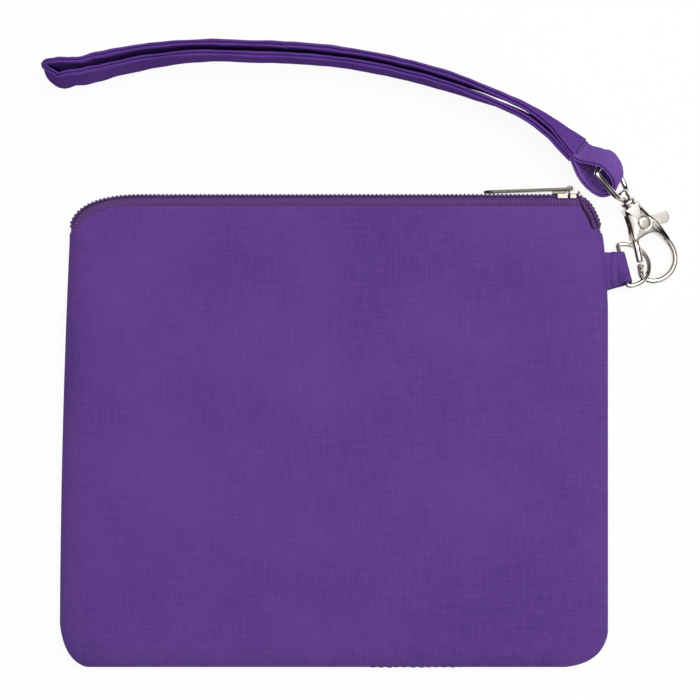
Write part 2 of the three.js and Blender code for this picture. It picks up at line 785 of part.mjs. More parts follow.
const needleHoles = [-1, 1].map((side) =>
  bar("y", -9, 9, stitchThread + runningFit, 8)
    .translate((side * stitchWidth) / 2, 0, 0)
    .applyMatrix4(stitch.matrixWorld),
);
add("wrist_strap", cut(strap, ...needleHoles), "panel");
add("strap_stitching", wire(stitchLoop, stitchThread, 8, true), "thread", stitch);

// Hand stitches that close the bottom seam
const closing = Array.from({ length: closingStitches * 2 + 1 }, (_, i) => ({
  at: V3(
    closingStart + (closingLength * i) / (2 * closingStitches),
    -halfHeight - clearance - closingThread,
    0,
  ),
  across: V3(0, 1, 0),
  width: closingThread,
  thickness: closingThread,
}));
closing.forEach(({ at }, i) => (at.z = seamHeight + (i % 2 ? 0.5 : -0.5)));
add("closing_stitches", sweep(closing, round(6)), "thread");

export default part;
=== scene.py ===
import json
import bmesh
import bpy
import numpy as np
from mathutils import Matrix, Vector


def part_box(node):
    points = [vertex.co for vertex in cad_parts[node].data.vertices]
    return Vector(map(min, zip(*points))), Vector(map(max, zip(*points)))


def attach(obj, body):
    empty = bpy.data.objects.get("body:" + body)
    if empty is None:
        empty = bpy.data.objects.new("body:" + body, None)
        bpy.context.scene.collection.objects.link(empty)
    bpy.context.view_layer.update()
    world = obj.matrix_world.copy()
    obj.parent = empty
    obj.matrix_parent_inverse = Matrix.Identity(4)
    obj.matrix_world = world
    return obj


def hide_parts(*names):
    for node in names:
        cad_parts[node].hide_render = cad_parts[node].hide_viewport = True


# A zip wristlet pouch lying on a table, with its wrist strap clipped to it. Lengths are in millimetres
# until a mesh is made, and +Z is up.
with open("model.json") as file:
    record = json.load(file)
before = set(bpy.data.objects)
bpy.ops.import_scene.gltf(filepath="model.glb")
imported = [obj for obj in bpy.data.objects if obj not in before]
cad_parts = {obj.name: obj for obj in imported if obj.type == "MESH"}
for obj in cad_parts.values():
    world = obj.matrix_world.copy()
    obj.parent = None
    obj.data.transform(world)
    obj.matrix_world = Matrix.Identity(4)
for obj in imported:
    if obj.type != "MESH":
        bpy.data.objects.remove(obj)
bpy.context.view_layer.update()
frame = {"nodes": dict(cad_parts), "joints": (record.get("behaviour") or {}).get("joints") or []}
nodes = frame["nodes"]
mm = 0.001
print("frame loaded")

# Camera, lamps and floor

studio = {
    "aim": (5.05, 24.45),  # the point of the table under the middle of the picture
    "cameraHeight": 600,
    "cameraSensor": 36,
    "pictureWidth": 212.1,  # of the table that the picture shows
    # each lamp's size, height, watts, place over the table and the point that it is aimed at
    "softBox": (800, 1000, 7.8, (380, 420), (0, 0, 0)),
    "fillBox": (400, 330, 0.4, (540, -560), (80, 60, 0)),
    "skyStrength": 1.15,
    "skyStops": ((0.56, "0a0a0c"), (0.74, "a0a0a0"), (0.9, "ffffff")),  # height in the sky, and colour
    "floorSize": 6000,
    "floorGlow": 0.93,  # share of the floor's white that shadows leave alone
}


def addObject(name, data):
    made = bpy.data.objects.new(name, data)
    bpy.context.scene.collection.objects.link(made)
    return made


camera = bpy.data.cameras.new("overheadCamera")
camera.sensor_width = studio["cameraSensor"]
camera.lens = studio["cameraSensor"] * studio["cameraHeight"] / studio["pictureWidth"]
cameraObject = addObject("overheadCamera", camera)
cameraObject.location = [v * mm for v in (*studio["aim"], studio["cameraHeight"])]
bpy.context.scene.camera = cameraObject
bpy.context.scene.view_settings.view_transform = "Standard"


def linearColour(hexCode):
    # sRGB hex to linear: c / 12.92 below 0.04045, and ((c + 0.055) / 1.055) to the power 2.4 above it
    values = [int(hexCode[i:i + 2], 16) / 255 for i in (0, 2, 4)]
    return [v / 12.92 if v <= 0.04045 else ((v + 0.055) / 1.055) ** 2.4 for v in values] + [1]


def addNode(tree, kind, inputs=None, **settings):
    # one node with its settings; an input is a value, or the node or socket that feeds it
    node = tree.nodes.new(kind)
    for name, value in settings.items():
        setattr(node, name, value)
    for key, value in (inputs or {}).items():
        if isinstance(value, bpy.types.Node):
            value = value.outputs[0]
        if isinstance(value, bpy.types.NodeSocket):
            tree.links.new(value, node.inputs[key])
        else:
            node.inputs[key].default_value = value
    return node


def mathNode(tree, operation, *inputs):
    return addNode(tree, "ShaderNodeMath", dict(enumerate(inputs)), operation=operation)


def newMaterial(name):
    material = bpy.data.materials.new(name)
    material.use_nodes = True
    tree = material.node_tree
    tree.nodes.clear()
    return material, tree


def addLamp(name, size, height, power, spot, aim):
    lamp = bpy.data.lights.new(name, "AREA")
    lamp.shape = "SQUARE"
    lamp.size = size * mm
    lamp.energy = power
    lampObject = addObject(name, lamp)
    lampObject.location = Vector((*spot, height)) * mm
    towards = Vector(aim) * mm - lampObject.location
    lampObject.rotation_euler = towards.to_track_quat("-Z", "Y").to_euler()


for lampName in ("softBox", "fillBox"):
    addLamp(lampName, *studio[lampName])


def makeSky():
    # pale overhead, dark lower down as a studio's walls are, and white where the camera sees it
    world = bpy.data.worlds.new("studioRoom")
    bpy.context.scene.world = world
    world.use_nodes = True
    tree = world.node_tree
    tree.nodes.clear()
    direction = addNode(tree, "ShaderNodeTexCoord")
    parts = addNode(tree, "ShaderNodeSeparateXYZ", {0: direction.outputs["Generated"]})
    ramp = addNode(tree, "ShaderNodeValToRGB", {0: parts.outputs["Z"]})
    stops = ramp.color_ramp.elements
    low, middle, high = studio["skyStops"]
    stops[0].position, stops[0].color = low[0], linearColour(low[1])
    stops[1].position, stops[1].color = high[0], linearColour(high[1])
    stops.new(middle[0]).color = linearColour(middle[1])
    room = addNode(tree, "ShaderNodeBackground", {"Color": ramp, "Strength": studio["skyStrength"]})
    white = addNode(tree, "ShaderNodeBackground", {"Color": (1, 1, 1, 1), "Strength": 1})
    ray = addNode(tree, "ShaderNodeLightPath")
    both = addNode(tree, "ShaderNodeMixShader", {0: ray.outputs["Is Camera Ray"], 1: room, 2: white})
    addNode(tree, "ShaderNodeOutputWorld", {"Surface": both})


def makeFloor():
    half = studio["floorSize"] / 2 * mm
    mesh = bpy.data.meshes.new("paperFloor")
    corners = [(-half, -half, 0), (half, -half, 0), (half, half, 0), (-half, half, 0)]
    mesh.from_pydata(corners, [], [(0, 1, 2, 3)])
    material, tree = newMaterial("white paper sweep")
    paper = addNode(tree, "ShaderNodeBsdfDiffuse", {"Color": linearColour("fafafa")})
    glow = addNode(tree, "ShaderNodeEmission", {"Color": (1, 1, 1, 1), "Strength": 1})
    ray = addNode(tree, "ShaderNodeLightPath")
    seen = mathNode(tree, "MAXIMUM", ray.outputs["Is Camera Ray"], ray.outputs["Is Glossy Ray"])
    share = mathNode(tree, "MULTIPLY", seen, studio["floorGlow"])
    both = addNode(tree, "ShaderNodeMixShader", {0: share, 1: paper, 2: glow})
    addNode(tree, "ShaderNodeOutputMaterial", {"Surface": both})
    mesh.materials.append(material)
    addObject("paperFloor", mesh)


makeSky()
makeFloor()
print("studio made")

# Mesh helpers


def unit(vectors):
    return vectors / np.linalg.norm(vectors, axis=-1, keepdims=True)


def fade(values, start, over):
    # 0 up to the start, then rising to 1 over the next stretch
    return np.clip((values - np.array(start)) / over, 0, 1)


def eased(share):
    return share ** 2 * (3 - 2 * share)


def runOf(points):
    # distance of each point of a line from its first, along the line
    return np.concatenate([[0], np.cumsum(np.linalg.norm(np.diff(points, axis=0), axis=1))])


def resampled(points, run, marks):
    return np.stack([np.interp(marks, run, column) for column in points.T], -1)


def gridFaces(rows, columns, closeRows=False, closeColumns=False):
    # quads between neighbours of a rows by columns grid, wrapping round where it closes
    i, j = np.indices((rows - (not closeRows), columns - (not closeColumns)))
    nextI, nextJ = (i + 1) % rows, (j + 1) % columns
    corners = [i * columns + j, i * columns + nextJ, nextI * columns + nextJ, nextI * columns + j]
    return np.stack(corners, -1).reshape(-1, 4)


def fanFaces(first, columns, pole, isLast):
    # triangles from a closed ring of points to its pole, wound as the grid's faces beside them
    k = np.arange(columns)
    ends = np.stack([k, (k + 1) % columns], -1) + first
    return np.column_stack([ends if isLast else ends[:, ::-1], np.full(columns, pole)])


def makePiece(name, points, blocks, material, uv, wrap=None):
    # a mesh from points in millimetres and blocks of faces; uv is one pair per point, in metres of cloth,
    # and with a wrap, the first block's last faces run on past the end instead of back to the start
    mesh = bpy.data.meshes.new(name)
    faces = [face for block in blocks for face in block.tolist()]
    mesh.from_pydata((np.reshape(points, (-1, 3)) * mm).tolist(), [], faces)
    pairs = [np.asarray(uv)[block] for block in blocks]
    if wrap is not None:
        low = pairs[0] < pairs[0].mean(1, keepdims=True)
        pairs[0] += wrap * (low & (np.ptp(pairs[0], axis=1, keepdims=True) > wrap / 2))
    layer = mesh.uv_layers.new(name="clothUv")
    layer.data.foreach_set("uv", np.concatenate([block.ravel() for block in pairs]).astype(np.float32))
    mesh.polygons.foreach_set("use_smooth", np.ones(len(mesh.polygons), bool))
    mesh.materials.append(material)
    mesh.update()
    return addObject(name, mesh)


def cleanMesh(mesh, merge=0):
    # merges points that are closer than this many millimetres, and turns the faces outwards
    work = bmesh.new()
    work.from_mesh(mesh)
    if merge:
        bmesh.ops.remove_doubles(work, verts=work.verts, dist=merge * mm)
    bmesh.ops.recalc_face_normals(work, faces=work.faces)
    work.to_mesh(mesh)
    work.free()


def place(piece, body, slotName, *replaced):
    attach(piece, body)
    if replaced:
        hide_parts(*replaced)


def smoothLine(knots, step, closed=False):
    # Catmull-Rom through the knots, then evenly spaced along its length; every column is carried along
    knots = np.asarray(knots, float)
    count = len(knots)
    t = np.linspace(0, count if closed else count - 1, 40 * count + 1)
    i = np.minimum(t.astype(int), count - (0 if closed else 2))
    f = (t - i)[:, None]

    def at(k):
        return knots[k % count] if closed else knots[np.clip(k, 0, count - 1)]

    a, b, c, d = at(i - 1), at(i), at(i + 1), at(i + 2)
    fine = 0.5 * (2 * b + (c - a) * f + (2 * a - 5 * b + 4 * c - d) * f ** 2
                  + (3 * b - a - 3 * c + d) * f ** 3)
    run = runOf(fine[:, :3])
    marks = np.linspace(0, run[-1], max(2, int(round(run[-1] / step))) + 1)
    return resampled(fine, run, marks[:-1] if closed else marks)


def sweepPoints(line, across, width, thickness, section, closed=False):
    # section (s, t) carried along the line: place = line + side * s * width + up * t * thickness
    along = unit(np.roll(line, -1, 0) - np.roll(line, 1, 0) if closed else np.gradient(line, axis=0))
    up = unit(np.cross(along, across))
    side = np.cross(up, along)
    wide = section[:, 0] * np.broadcast_to(width, len(line))[:, None]
    thick = section[:, 1] * np.broadcast_to(thickness, len(line))[:, None]
    return line[:, None] + side[:, None] * wide[..., None] + up[:, None] * thick[..., None]


def sweepPiece(name, rings, material, closed=False, bulge=0.0):
    # the skin over rings of points, with a domed cap on each end of an open one
    rows, columns = rings.shape[:2]
    runAlong = runOf(rings.mean(1))
    around = np.linalg.norm(np.diff(rings, axis=1, append=rings[:, :1]), axis=2).mean(0)
    runAround = np.concatenate([[0], np.cumsum(around)])
    uv = np.stack(np.meshgrid(runAlong, runAround[:-1], indexing="ij"), -1).reshape(-1, 2) * mm
    blocks, points = [gridFaces(rows, columns, closed, True)], rings.reshape(-1, 3)
    if not closed:
        for end, inner in ((0, 1), (rows - 1, rows - 2)):
            middle = rings[end].mean(0)
            outward = unit(middle - rings[inner].mean(0))
            blocks.append(fanFaces(end * columns, columns, len(points), end > 0))
            points = np.vstack([points, middle + outward * bulge])
            uv = np.vstack([uv, uv[end * columns]])
    return makePiece(name, points, blocks, material, uv, np.array([runAlong[-1], runAround[-1]]) * mm)


def wirePiece(name, line, across, radius, material, sides=6):
    return sweepPiece(name, sweepPoints(line, across, radius, radius, roundSection(sides)), material)


def roundSection(sides):
    angle = 2 * np.pi * (np.arange(sides) + 0.5) / sides
    return np.stack([np.cos(angle), np.sin(angle)], -1)


rippleWaves = 7


def ripple(x, y, wavelength, seed):
    # plane waves with fixed random directions, lengths and phases, added up to a spread near 1
    numbers = np.random.default_rng(seed)
    total = np.zeros(np.broadcast(x, y).shape)
    for _ in range(rippleWaves):
        turn, phase = numbers.uniform(0, 2 * np.pi, 2)
        length = wavelength * numbers.uniform(0.7, 1.6)
        total = total + np.sin(2 * np.pi * (x * np.cos(turn) + y * np.sin(turn)) / length + phase)
    return total / rippleWaves ** 0.5


# Materials


def blended(tree, share, low, high):
    # a colour between two others, each a hex code or a socket
    low, high = (linearColour(end) if isinstance(end, str) else end for end in (low, high))
    return addNode(tree, "ShaderNodeMix", {0: share, 6: low, 7: high}, data_type="RGBA").outputs[2]


def remapped(tree, value, low, high, toLow=0, toHigh=1):
    return addNode(tree, "ShaderNodeMapRange", {"Value": value, "From Min": low, "From Max": high,
                                                "To Min": toLow, "To Max": toHigh})


def wave(tree, socket, length):
    # sin(2 pi socket / length), the length in millimetres
    return mathNode(tree, "SINE", mathNode(tree, "MULTIPLY", socket, 2 * np.pi / (length * mm)))


def noise(tree, vector, size, detail, roughness=0.5, dimensions="3D"):
    inputs = {"Vector": vector, "Scale": 1 / (size * mm), "Detail": detail, "Roughness": roughness}
    return addNode(tree, "ShaderNodeTexNoise", inputs, noise_dimensions=dimensions)


def bumped(tree, heights, relief):
    return addNode(tree, "ShaderNodeBump", {"Height": heights, "Distance": relief * mm, "Strength": 1})


def objectPlace(tree):
    return addNode(tree, "ShaderNodeTexCoord").outputs["Object"]


def finished(material, inputs):
    shader = addNode(material.node_tree, "ShaderNodeBsdfPrincipled", inputs)
    addNode(material.node_tree, "ShaderNodeOutputMaterial", {"Surface": shader})
    return material


def wovenCotton(name, look):
    # Plain-weave cotton, piece dyed: matt, with a soft sheen at grazing angles. Each thread bulges where
    # it passes over, uneven yarn leaves faint streaks both ways, and the dye is a little blotchy.
    material, tree = newMaterial(name)
    uv = addNode(tree, "ShaderNodeUVMap", uv_map="clothUv")
    parts = addNode(tree, "ShaderNodeSeparateXYZ", {0: uv})
    over = mathNode(tree, "MULTIPLY", *(wave(tree, parts.outputs[k], 2 * look["thread"]) for k in "XY"))

    def yarn(stretch, seed):
        moved = addNode(tree, "ShaderNodeMapping",
                        {"Vector": uv, "Location": (seed, seed, 0), "Scale": (*stretch, 1)})
        return noise(tree, moved, 1 / mm, 3, 0.6, "2D")

    fine, long = 1 / (look["slubWidth"] * mm), 1 / (look["slubLength"] * mm)
    slubs = mathNode(tree, "ADD", yarn((fine, long), 3.1), yarn((long, fine), 7.7))
    blotch = noise(tree, uv, look["blotch"], 4, dimensions="2D")
    dyed = blended(tree, remapped(tree, blotch, 0.3, 0.7), look["dyeLow"], look["dye"])
    streaked = blended(tree, remapped(tree, slubs, 0.7, 1.3), dyed, look["slubDye"])
    mixed = blended(tree, look["slubShare"], dyed, streaked)
    holes = remapped(tree, over, -0.15, 0.25, look["holeShade"], 1)
    shaded = addNode(tree, "ShaderNodeVectorMath", {0: mixed, 1: holes}, operation="MULTIPLY")
    heights = mathNode(tree, "MULTIPLY_ADD", slubs, 0.5, over)
    return finished(material, {
        "Base Color": shaded, "Roughness": 0.86, "Specular IOR Level": look["shine"],
        "Sheen Weight": look["sheen"], "Sheen Tint": linearColour(look["sheenTint"]),
        "Sheen Roughness": 0.45, "Normal": bumped(tree, heights, look["relief"])})


# A thread of the real cloth is 0.37 mm wide, little more than a pixel, so the weave is drawn at 0.55 mm
panelLook = {"thread": 0.55, "slubWidth": 0.8, "slubLength": 9, "blotch": 38, "dye": "643e90",
             "dyeLow": "563484", "slubDye": "6c4799", "slubShare": 0.5, "holeShade": 0.95, "relief": 0.06,
             "sheen": 0.12, "sheenTint": "b79be0", "shine": 0.25}
panelCotton = wovenCotton("plain-weave cotton, purple", panelLook)
strapCotton = wovenCotton("plain-weave cotton, folded strip", dict(
    panelLook, dye="6b459c", dyeLow="5d3a8c", blotch=15, sheen=0, shine=0))
# The strap's end round the eye is dyed lighter than the rest of the strip. This is painted light, standing
# in for the light that falls on the loop's outer face.
litLobeCotton = wovenCotton("plain-weave cotton, bend lightened for painted light", dict(
    panelLook, dye="8259b3", dyeLow="744da4", blotch=15, sheen=0.05, shine=0.12))
tabCotton = wovenCotton("plain-weave cotton, tab", dict(panelLook, dye="64408f", dyeLow="553582", blotch=6))
liningCotton = wovenCotton("plain-weave cotton, lining", dict(panelLook, dye="4f3278", dyeLow="472b6c"))


def knittedTape(name, look):
    # Warp-knitted polyester tape: rows of small slanted stitches, duller and browner than the cotton
    material, tree = newMaterial(name)
    uv = addNode(tree, "ShaderNodeUVMap", uv_map="clothUv")
    x, y, _ = addNode(tree, "ShaderNodeSeparateXYZ", {0: uv}).outputs
    slant = mathNode(tree, "MULTIPLY_ADD", y, 0.8, x)
    knit = mathNode(tree, "ADD", wave(tree, slant, look["stitch"]), wave(tree, y, look["rib"]))
    share = mathNode(tree, "MULTIPLY_ADD", knit, 0.25, noise(tree, uv, look["fuzz"], 3, dimensions="2D"))
    return finished(material, {
        "Base Color": blended(tree, remapped(tree, share, 0.2, 0.85), look["low"], look["high"]),
        "Roughness": 0.8, "Specular IOR Level": 0.3, "Sheen Weight": 0.08,
        "Normal": bumped(tree, share, look["relief"])})


def coilNylon(name, look):
    # Nylon monofilament, dyed in the mass and pressed to shape: smooth, half glossy
    material, tree = newMaterial(name)
    grain = noise(tree, objectPlace(tree), look["grain"], 2)
    return finished(material, {"Base Color": blended(tree, grain, look["low"], look["high"]),
                               "Roughness": 0.38, "IOR": 1.53})


def sewingThread(name, look):
    # Spun polyester sewing thread: two plies twisted together, matt with a faint sheen
    material, tree = newMaterial(name)
    x, y, z = addNode(tree, "ShaderNodeSeparateXYZ", {0: objectPlace(tree)}).outputs
    slant = mathNode(tree, "MULTIPLY_ADD", z, 0.8, mathNode(tree, "MULTIPLY_ADD", y, 1.2, x))
    plies = wave(tree, slant, look["twist"])
    return finished(material, {
        "Base Color": blended(tree, remapped(tree, plies, -1, 1), look["low"], look["high"]),
        "Roughness": 0.7, "Sheen Weight": 0.1, "Normal": bumped(tree, plies, look["relief"])})


def nickelPlate(name, look):
    # Nickel over zinc or steel: warm white metal, with faint tumbling marks and duller patches
    material, tree = newMaterial(name)
    marks = noise(tree, objectPlace(tree), look["marks"], 6, 0.7)
    patches = noise(tree, objectPlace(tree), 6, 3)
    return finished(material, {
        "Base Color": blended(tree, patches, look["low"], look["high"]), "Metallic": 1,
        "Roughness": remapped(tree, patches, 0.3, 0.7, look["smooth"], look["dull"]),
        "Normal": bumped(tree, marks, look["relief"])})


zipTapeKnit = knittedTape("knitted polyester zip tape", {
    "stitch": 0.9, "rib": 0.8, "fuzz": 0.5, "low": "45285f", "high": "744a90", "relief": 0.12})
coilMaterial = coilNylon("nylon monofilament coil", {"grain": 1.5, "low": "42245c", "high": "603a7c"})
threadMaterial = sewingThread("spun polyester thread", {
    "twist": 0.55, "low": "4a2f70", "high": "644290", "relief": 0.05})
castNickel = nickelPlate("bright nickel plate over cast zinc", {
    "marks": 0.5, "smooth": 0.12, "dull": 0.22, "low": "cdc7bd", "high": "e4dfd7", "relief": 0.006})
# The slider's nickel is coloured much darker than the bright plate elsewhere. This is painted shade, so
# that it reflects less of the lamp.
zipNickel = nickelPlate("nickel plate over cast zip parts, with painted shade", {
    "marks": 0.35, "smooth": 0.22, "dull": 0.36, "low": "7d766e", "high": "b3ada4", "relief": 0.03})
# The pull's nickel is coloured almost black. This is painted shade and painted dark reflection, for a thin
# plate that catches little light edge-on.
pullNickel = nickelPlate("nickel plate over stamped steel, painted dark for shade", {
    "marks": 0.5, "smooth": 0.22, "dull": 0.38, "low": "2c2927", "high": "6b665f", "relief": 0.04})
wireNickel = nickelPlate("bright nickel plate over steel wire", {
    "marks": 0.4, "smooth": 0.1, "dull": 0.18, "low": "cfcac1", "high": "e8e4dd", "relief": 0.004})
print("materials made")

# Pouch

pouch = {
    "width": 164.4,
    "height": 141.8,
    "points": 600,  # round the outline
    "leftLean": 2.9,
    "leftBow": 1.2,
    "bowTop": 57,  # height of the bow's upper end over the pouch's middle
    "topLeft": (21, 11.5, 0.05),  # cut along the top, cut down the side, softness
    "topRight": (7.4, 15, 0.4),
    "bottomRight": (12.5, 10.4, 0.24),
    "bottomLeft": (8, 13, 0.3),
    "rightEase": 0.45,  # of the right side past the seam's line
    "easeFrom": (60, 20),  # x where that begins, and the width that it grows over
    "rightLean": 1.15,  # of the right side's upper part towards the end of the zip
    "leanFrom": (66, 40),  # x and y where that begins
    "leanOver": (14, 15),
    "seam": 4.2,  # height over the table
    "top": 9.4,
    "shoulder": 8.7,
    "backTurn": 0.88,  # share of the way out where the cloth turns down
    "frontTurn": 0.935,
    "sideRoundness": 2.2,
    "zipRoundness": 3.2,
    "zipFoot": 58.3,  # where the zip runs out into the side seams
    "zipTaper": 4,
    "panelCloth": 0.5,
    "tapeCloth": 0.4,
    "liningCloth": 0.4,
    "liningGap": 0.6,  # between the lining and the tape or coil
    "liningShort": 1.2,  # of the lining's edge at the mouth
    "tapeShown": 3.45,
    "coilHeight": 1.2,
    "coilWidth": 1.5,
    "coilSplit": 1.1,
    "wave": (0.16, 70, 31),  # height of the back's slow unevenness, and its two wavelengths
    "pucker": (0.1, 6.5, 0.05),  # height at the seams, wavelength, and reach as a share of the way out
    "shortWave": 0.5,  # height of the shorter wave as a share of the longer one's
    "dieOut": (0.05, 0.012),  # distance from the rim over which the waves and the puckers end
    "firstRings": (0.02, 0.05),  # shares of the way out of the mesh's innermost rings
    "bend": 0.84,  # share of the way out from which the mesh is finer
    "lip": 0.45,  # fullness of the cloth's turned edge at the mouth, in thicknesses
    "panelRim": 0.04,  # half the gap between the two panels at the seam
    "liningRim": 0.15,
}
halves = (1, "back"), (-1, "front")
halfWidth, halfHeight = pouch["width"] / 2, pouch["height"] / 2
leftTop = pouch["leftLean"] - halfWidth


def bezier(start, control, end):
    t = np.linspace(0, 1, 24)[:, None]
    start, control, end = (np.array(p, float) for p in (start, control, end))
    return start * (1 - t) ** 2 + control * 2 * t * (1 - t) + end * t ** 2


def corner(start, tip, end, softness):
    start, tip, end = (np.array(p, float) for p in (start, tip, end))
    return bezier(start, tip + ((start + end) / 2 - tip) * softness, end)


def pouchOutline():
    # clockwise from the foot of the left side, evenly spaced
    tl, tr, br, bl = (pouch[k] for k in ("topLeft", "topRight", "bottomRight", "bottomLeft"))
    foot, rightTop, rightFoot = (-halfWidth, bl[1] - halfHeight), halfHeight - tr[1], br[1] - halfHeight
    line = np.vstack([
        bezier(foot, ((leftTop - halfWidth) / 2 - pouch["leftBow"], 0), (leftTop, pouch["bowTop"])),
        corner((leftTop, halfHeight - tl[1]), (leftTop, halfHeight), (leftTop + tl[0], halfHeight), tl[2]),
        corner((halfWidth - tr[0], halfHeight), (halfWidth, halfHeight), (halfWidth, rightTop), tr[2]),
        np.column_stack([np.full(18, halfWidth), np.linspace(rightTop, rightFoot, 20)[1:-1]]),
        corner((halfWidth, rightFoot), (halfWidth, -halfHeight), (halfWidth - br[0], -halfHeight), br[2]),
        corner((bl[0] - halfWidth, -halfHeight), (-halfWidth, -halfHeight), foot, bl[2])[:-1]])
    line[:, 0] += pouch["rightEase"] * fade(line[:, 0], *pouch["easeFrom"])
    line[:, 0] -= pouch["rightLean"] * fade(line, pouch["leanFrom"], pouch["leanOver"]).prod(1)
    looped = np.vstack([line, line[:1]])
    run = runOf(looped)
    return resampled(looped, run, np.linspace(0, run[-1], pouch["points"] + 1)[:-1])


outline = pouchOutline()
alongOutline = unit(np.roll(outline, -1, 0) - np.roll(outline, 1, 0))
outwards = np.stack([-alongOutline[:, 1], alongOutline[:, 0]], -1)
outlineRun = np.arange(len(outline)) * np.linalg.norm(np.diff(outline[:2], axis=0))


def insetOutline(depth):
    return outline - outwards * np.reshape(depth, (-1, 1))


def zipShare(y):
    return fade(y, pouch["zipFoot"], pouch["zipTaper"])


def edgeShare(inset, depth):
    # how far out from the middle the cloth runs before the zip's mouth cuts it, as a share of its ring
    ring, edge = insetOutline(inset), insetOutline((depth + 1) * zipShare(outline[:, 1]) - 1)
    turn = np.unwrap(np.arctan2(edge[:, 1], edge[:, 0]))
    order = np.argsort(turn)
    reach = np.linalg.norm(edge, axis=1)[order]
    found = np.interp(np.arctan2(ring[:, 1], ring[:, 0]), turn[order], reach, period=2 * np.pi)
    return np.minimum(1, found / np.linalg.norm(ring, axis=1))


def clothRings(side, inset, depth, rim, shares):
    # rings of one cloth surface: flat or gently domed in the middle, turning down to the seam by
    # wall = (1 - over^r)^(1/r), where over is how far the share is past the turn
    turn = pouch["backTurn"] if side > 0 else pouch["frontTurn"]
    rise = pouch["shoulder"] - pouch["seam"] if side > 0 else pouch["seam"]
    crown = pouch["top"] - pouch["shoulder"] if side > 0 else 0
    ring = insetOutline(inset)
    dome = crown * np.clip(1 - (shares / turn) ** 2, 0, None)
    plain = pouch["sideRoundness"]
    roundness = plain + (pouch["zipRoundness"] - plain) * zipShare(ring[:, 1])
    wall = np.clip(1 - fade(shares, turn, 1 - turn) ** roundness, 0, 1) ** (1 / roundness)
    z = pouch["seam"] + side * (rim + (rise - depth - rim) * wall + dome)
    return np.dstack([ring[None, :, 0] * shares, ring[None, :, 1] * shares, z])


def unevenness(points, shares):
    # slow waves over the back that die out at its middle pole and its rim, and puckers along the seams
    height, long, short = pouch["wave"]
    x, y = points[..., 0], points[..., 1]
    waves = height * (ripple(x, y, long, 12) + pouch["shortWave"] * ripple(x, y, short, 24))
    height, length, reach = pouch["pucker"]
    along, inside = np.broadcast_to(outlineRun, x.shape), 1 - shares
    puckers = height * ripple(along, 0 * along, length, 32) * np.exp(-(inside / reach) ** 2)
    waveEnd, puckerEnd = pouch["dieOut"]
    return waves * fade(inside, 0, waveEnd) + puckers * fade(inside, 0, puckerEnd)


def plyPiece(name, side, inset, depth, thickness, rim, mouthDepth, material, rows):
    # one ply: its outer surface from the middle to the edge, a rounded lip, and its inner surface back.
    # inset and depth are its distance inside the pouch's outline and its top, and rim is the half gap
    # between the two plies at the seam
    (pole, second), bend = pouch["firstRings"], pouch["bend"]
    nearEdge = bend + (1 - bend) * np.sin(np.linspace(0, 1, rows)[1:] * np.pi / 2)
    t = np.concatenate([[pole], np.linspace(second, bend, rows), nearEdge])[:, None]

    def surface(into, t):
        shares = t * edgeShare(inset + into, mouthDepth)
        rings = clothRings(side, inset + into, depth + into, rim, shares)
        if side > 0:
            rings[..., 2] += unevenness(rings, shares)
        return rings

    outer, inner = surface(0, t), surface(thickness, t[::3])
    forward = unit(outer[-1] - outer[-2])
    atMouth = (edgeShare(inset, mouthDepth) < 0.9999)[:, None]
    lips = []
    for angle in np.pi * np.array([0.25, 0.5, 0.75]):
        blend = outer[-1] + (inner[-1] - outer[-1]) * (1 - np.cos(angle)) / 2
        lips.append(blend + forward * np.sin(angle) * pouch["lip"] * thickness * atMouth)
    rings = np.concatenate([outer, lips, inner[::-1]])[:, ::side]
    count, columns = rings.shape[:2]
    points = np.vstack([rings.reshape(-1, 3), rings[0].mean(0), rings[-1].mean(0)])
    blocks = [gridFaces(count, columns, False, True), fanFaces(0, columns, count * columns, False),
              fanFaces((count - 1) * columns, columns, count * columns + 1, True)]
    return makePiece(name, points, blocks, material, points[:, :2] * mm)


panels = {}
for side, half in halves:
    panels[half] = plyPiece("pouch" + half.capitalize() + "Panel", side, 0, 0, pouch["panelCloth"],
                            pouch["panelRim"], pouch["tapeShown"], panelCotton, rows=44)
    place(panels[half], "pouch", "panel_cotton", half + "_panel")
outside = pouch["tapeCloth"] + pouch["liningGap"]
liningInset, liningLevel = pouch["coilHeight"] + outside, pouch["panelCloth"] + outside
liningMouth = pouch["tapeShown"] + pouch["liningShort"]
for side, half in halves:
    lining = plyPiece("pouch" + half.capitalize() + "Lining", side, liningInset, liningLevel,
                      pouch["liningCloth"], pouch["liningRim"], liningMouth, liningCotton, rows=12)
    place(lining, "pouch", "lining_cotton", half + "_lining")
print("pouch panels made")

# Zip

zipLook = {
    "tapeInset": 0.5,  # of the tape's rim from the pouch's outline
    "tapeDeep": 10.5,  # from the outline to the tape's inner edge
    "gap": 0.5,  # between the halves of the coil
    "pitch": 1.25,  # of the coil's turns
    "strand": 0.3,  # radius of the monofilament
    "sway": 0.18,  # of the turns along the coil
    "proud": 0.5,  # of the coil past the pouch's outline
    "cord": (0.34, 0.75),  # half thickness and half width of the cord inside each half
    "cordOut": -0.1,  # of the cord's middle from the coil's
    "tuck": 1.7,  # of the coil's ends under the panels
    "roll": 0.8,  # radians, the coil's roll at the slider's corner
    "rollIn": 1.3,
    "rollUp": 3.5,
    "rollFrom": (9.5, 5),  # distance from the right side, and the width that the roll grows over
    "rollFoot": (1.6, 2),  # the same over the foot of the zip
    "stitchInset": 2.75,  # of the thread row
    "stitch": 2.1,  # length of one stitch
    "stitchRise": 0.14,
    "stitchSunk": 0.06,
    "thread": 0.13,  # radius
    "turnPoints": 12,
}
upright = np.array([0.0, 0, 1])
zipPart = np.where(outline[:, 1] > pouch["zipFoot"] + 0.4)[0]
zipLevel = pouch["panelCloth"] + 0.3


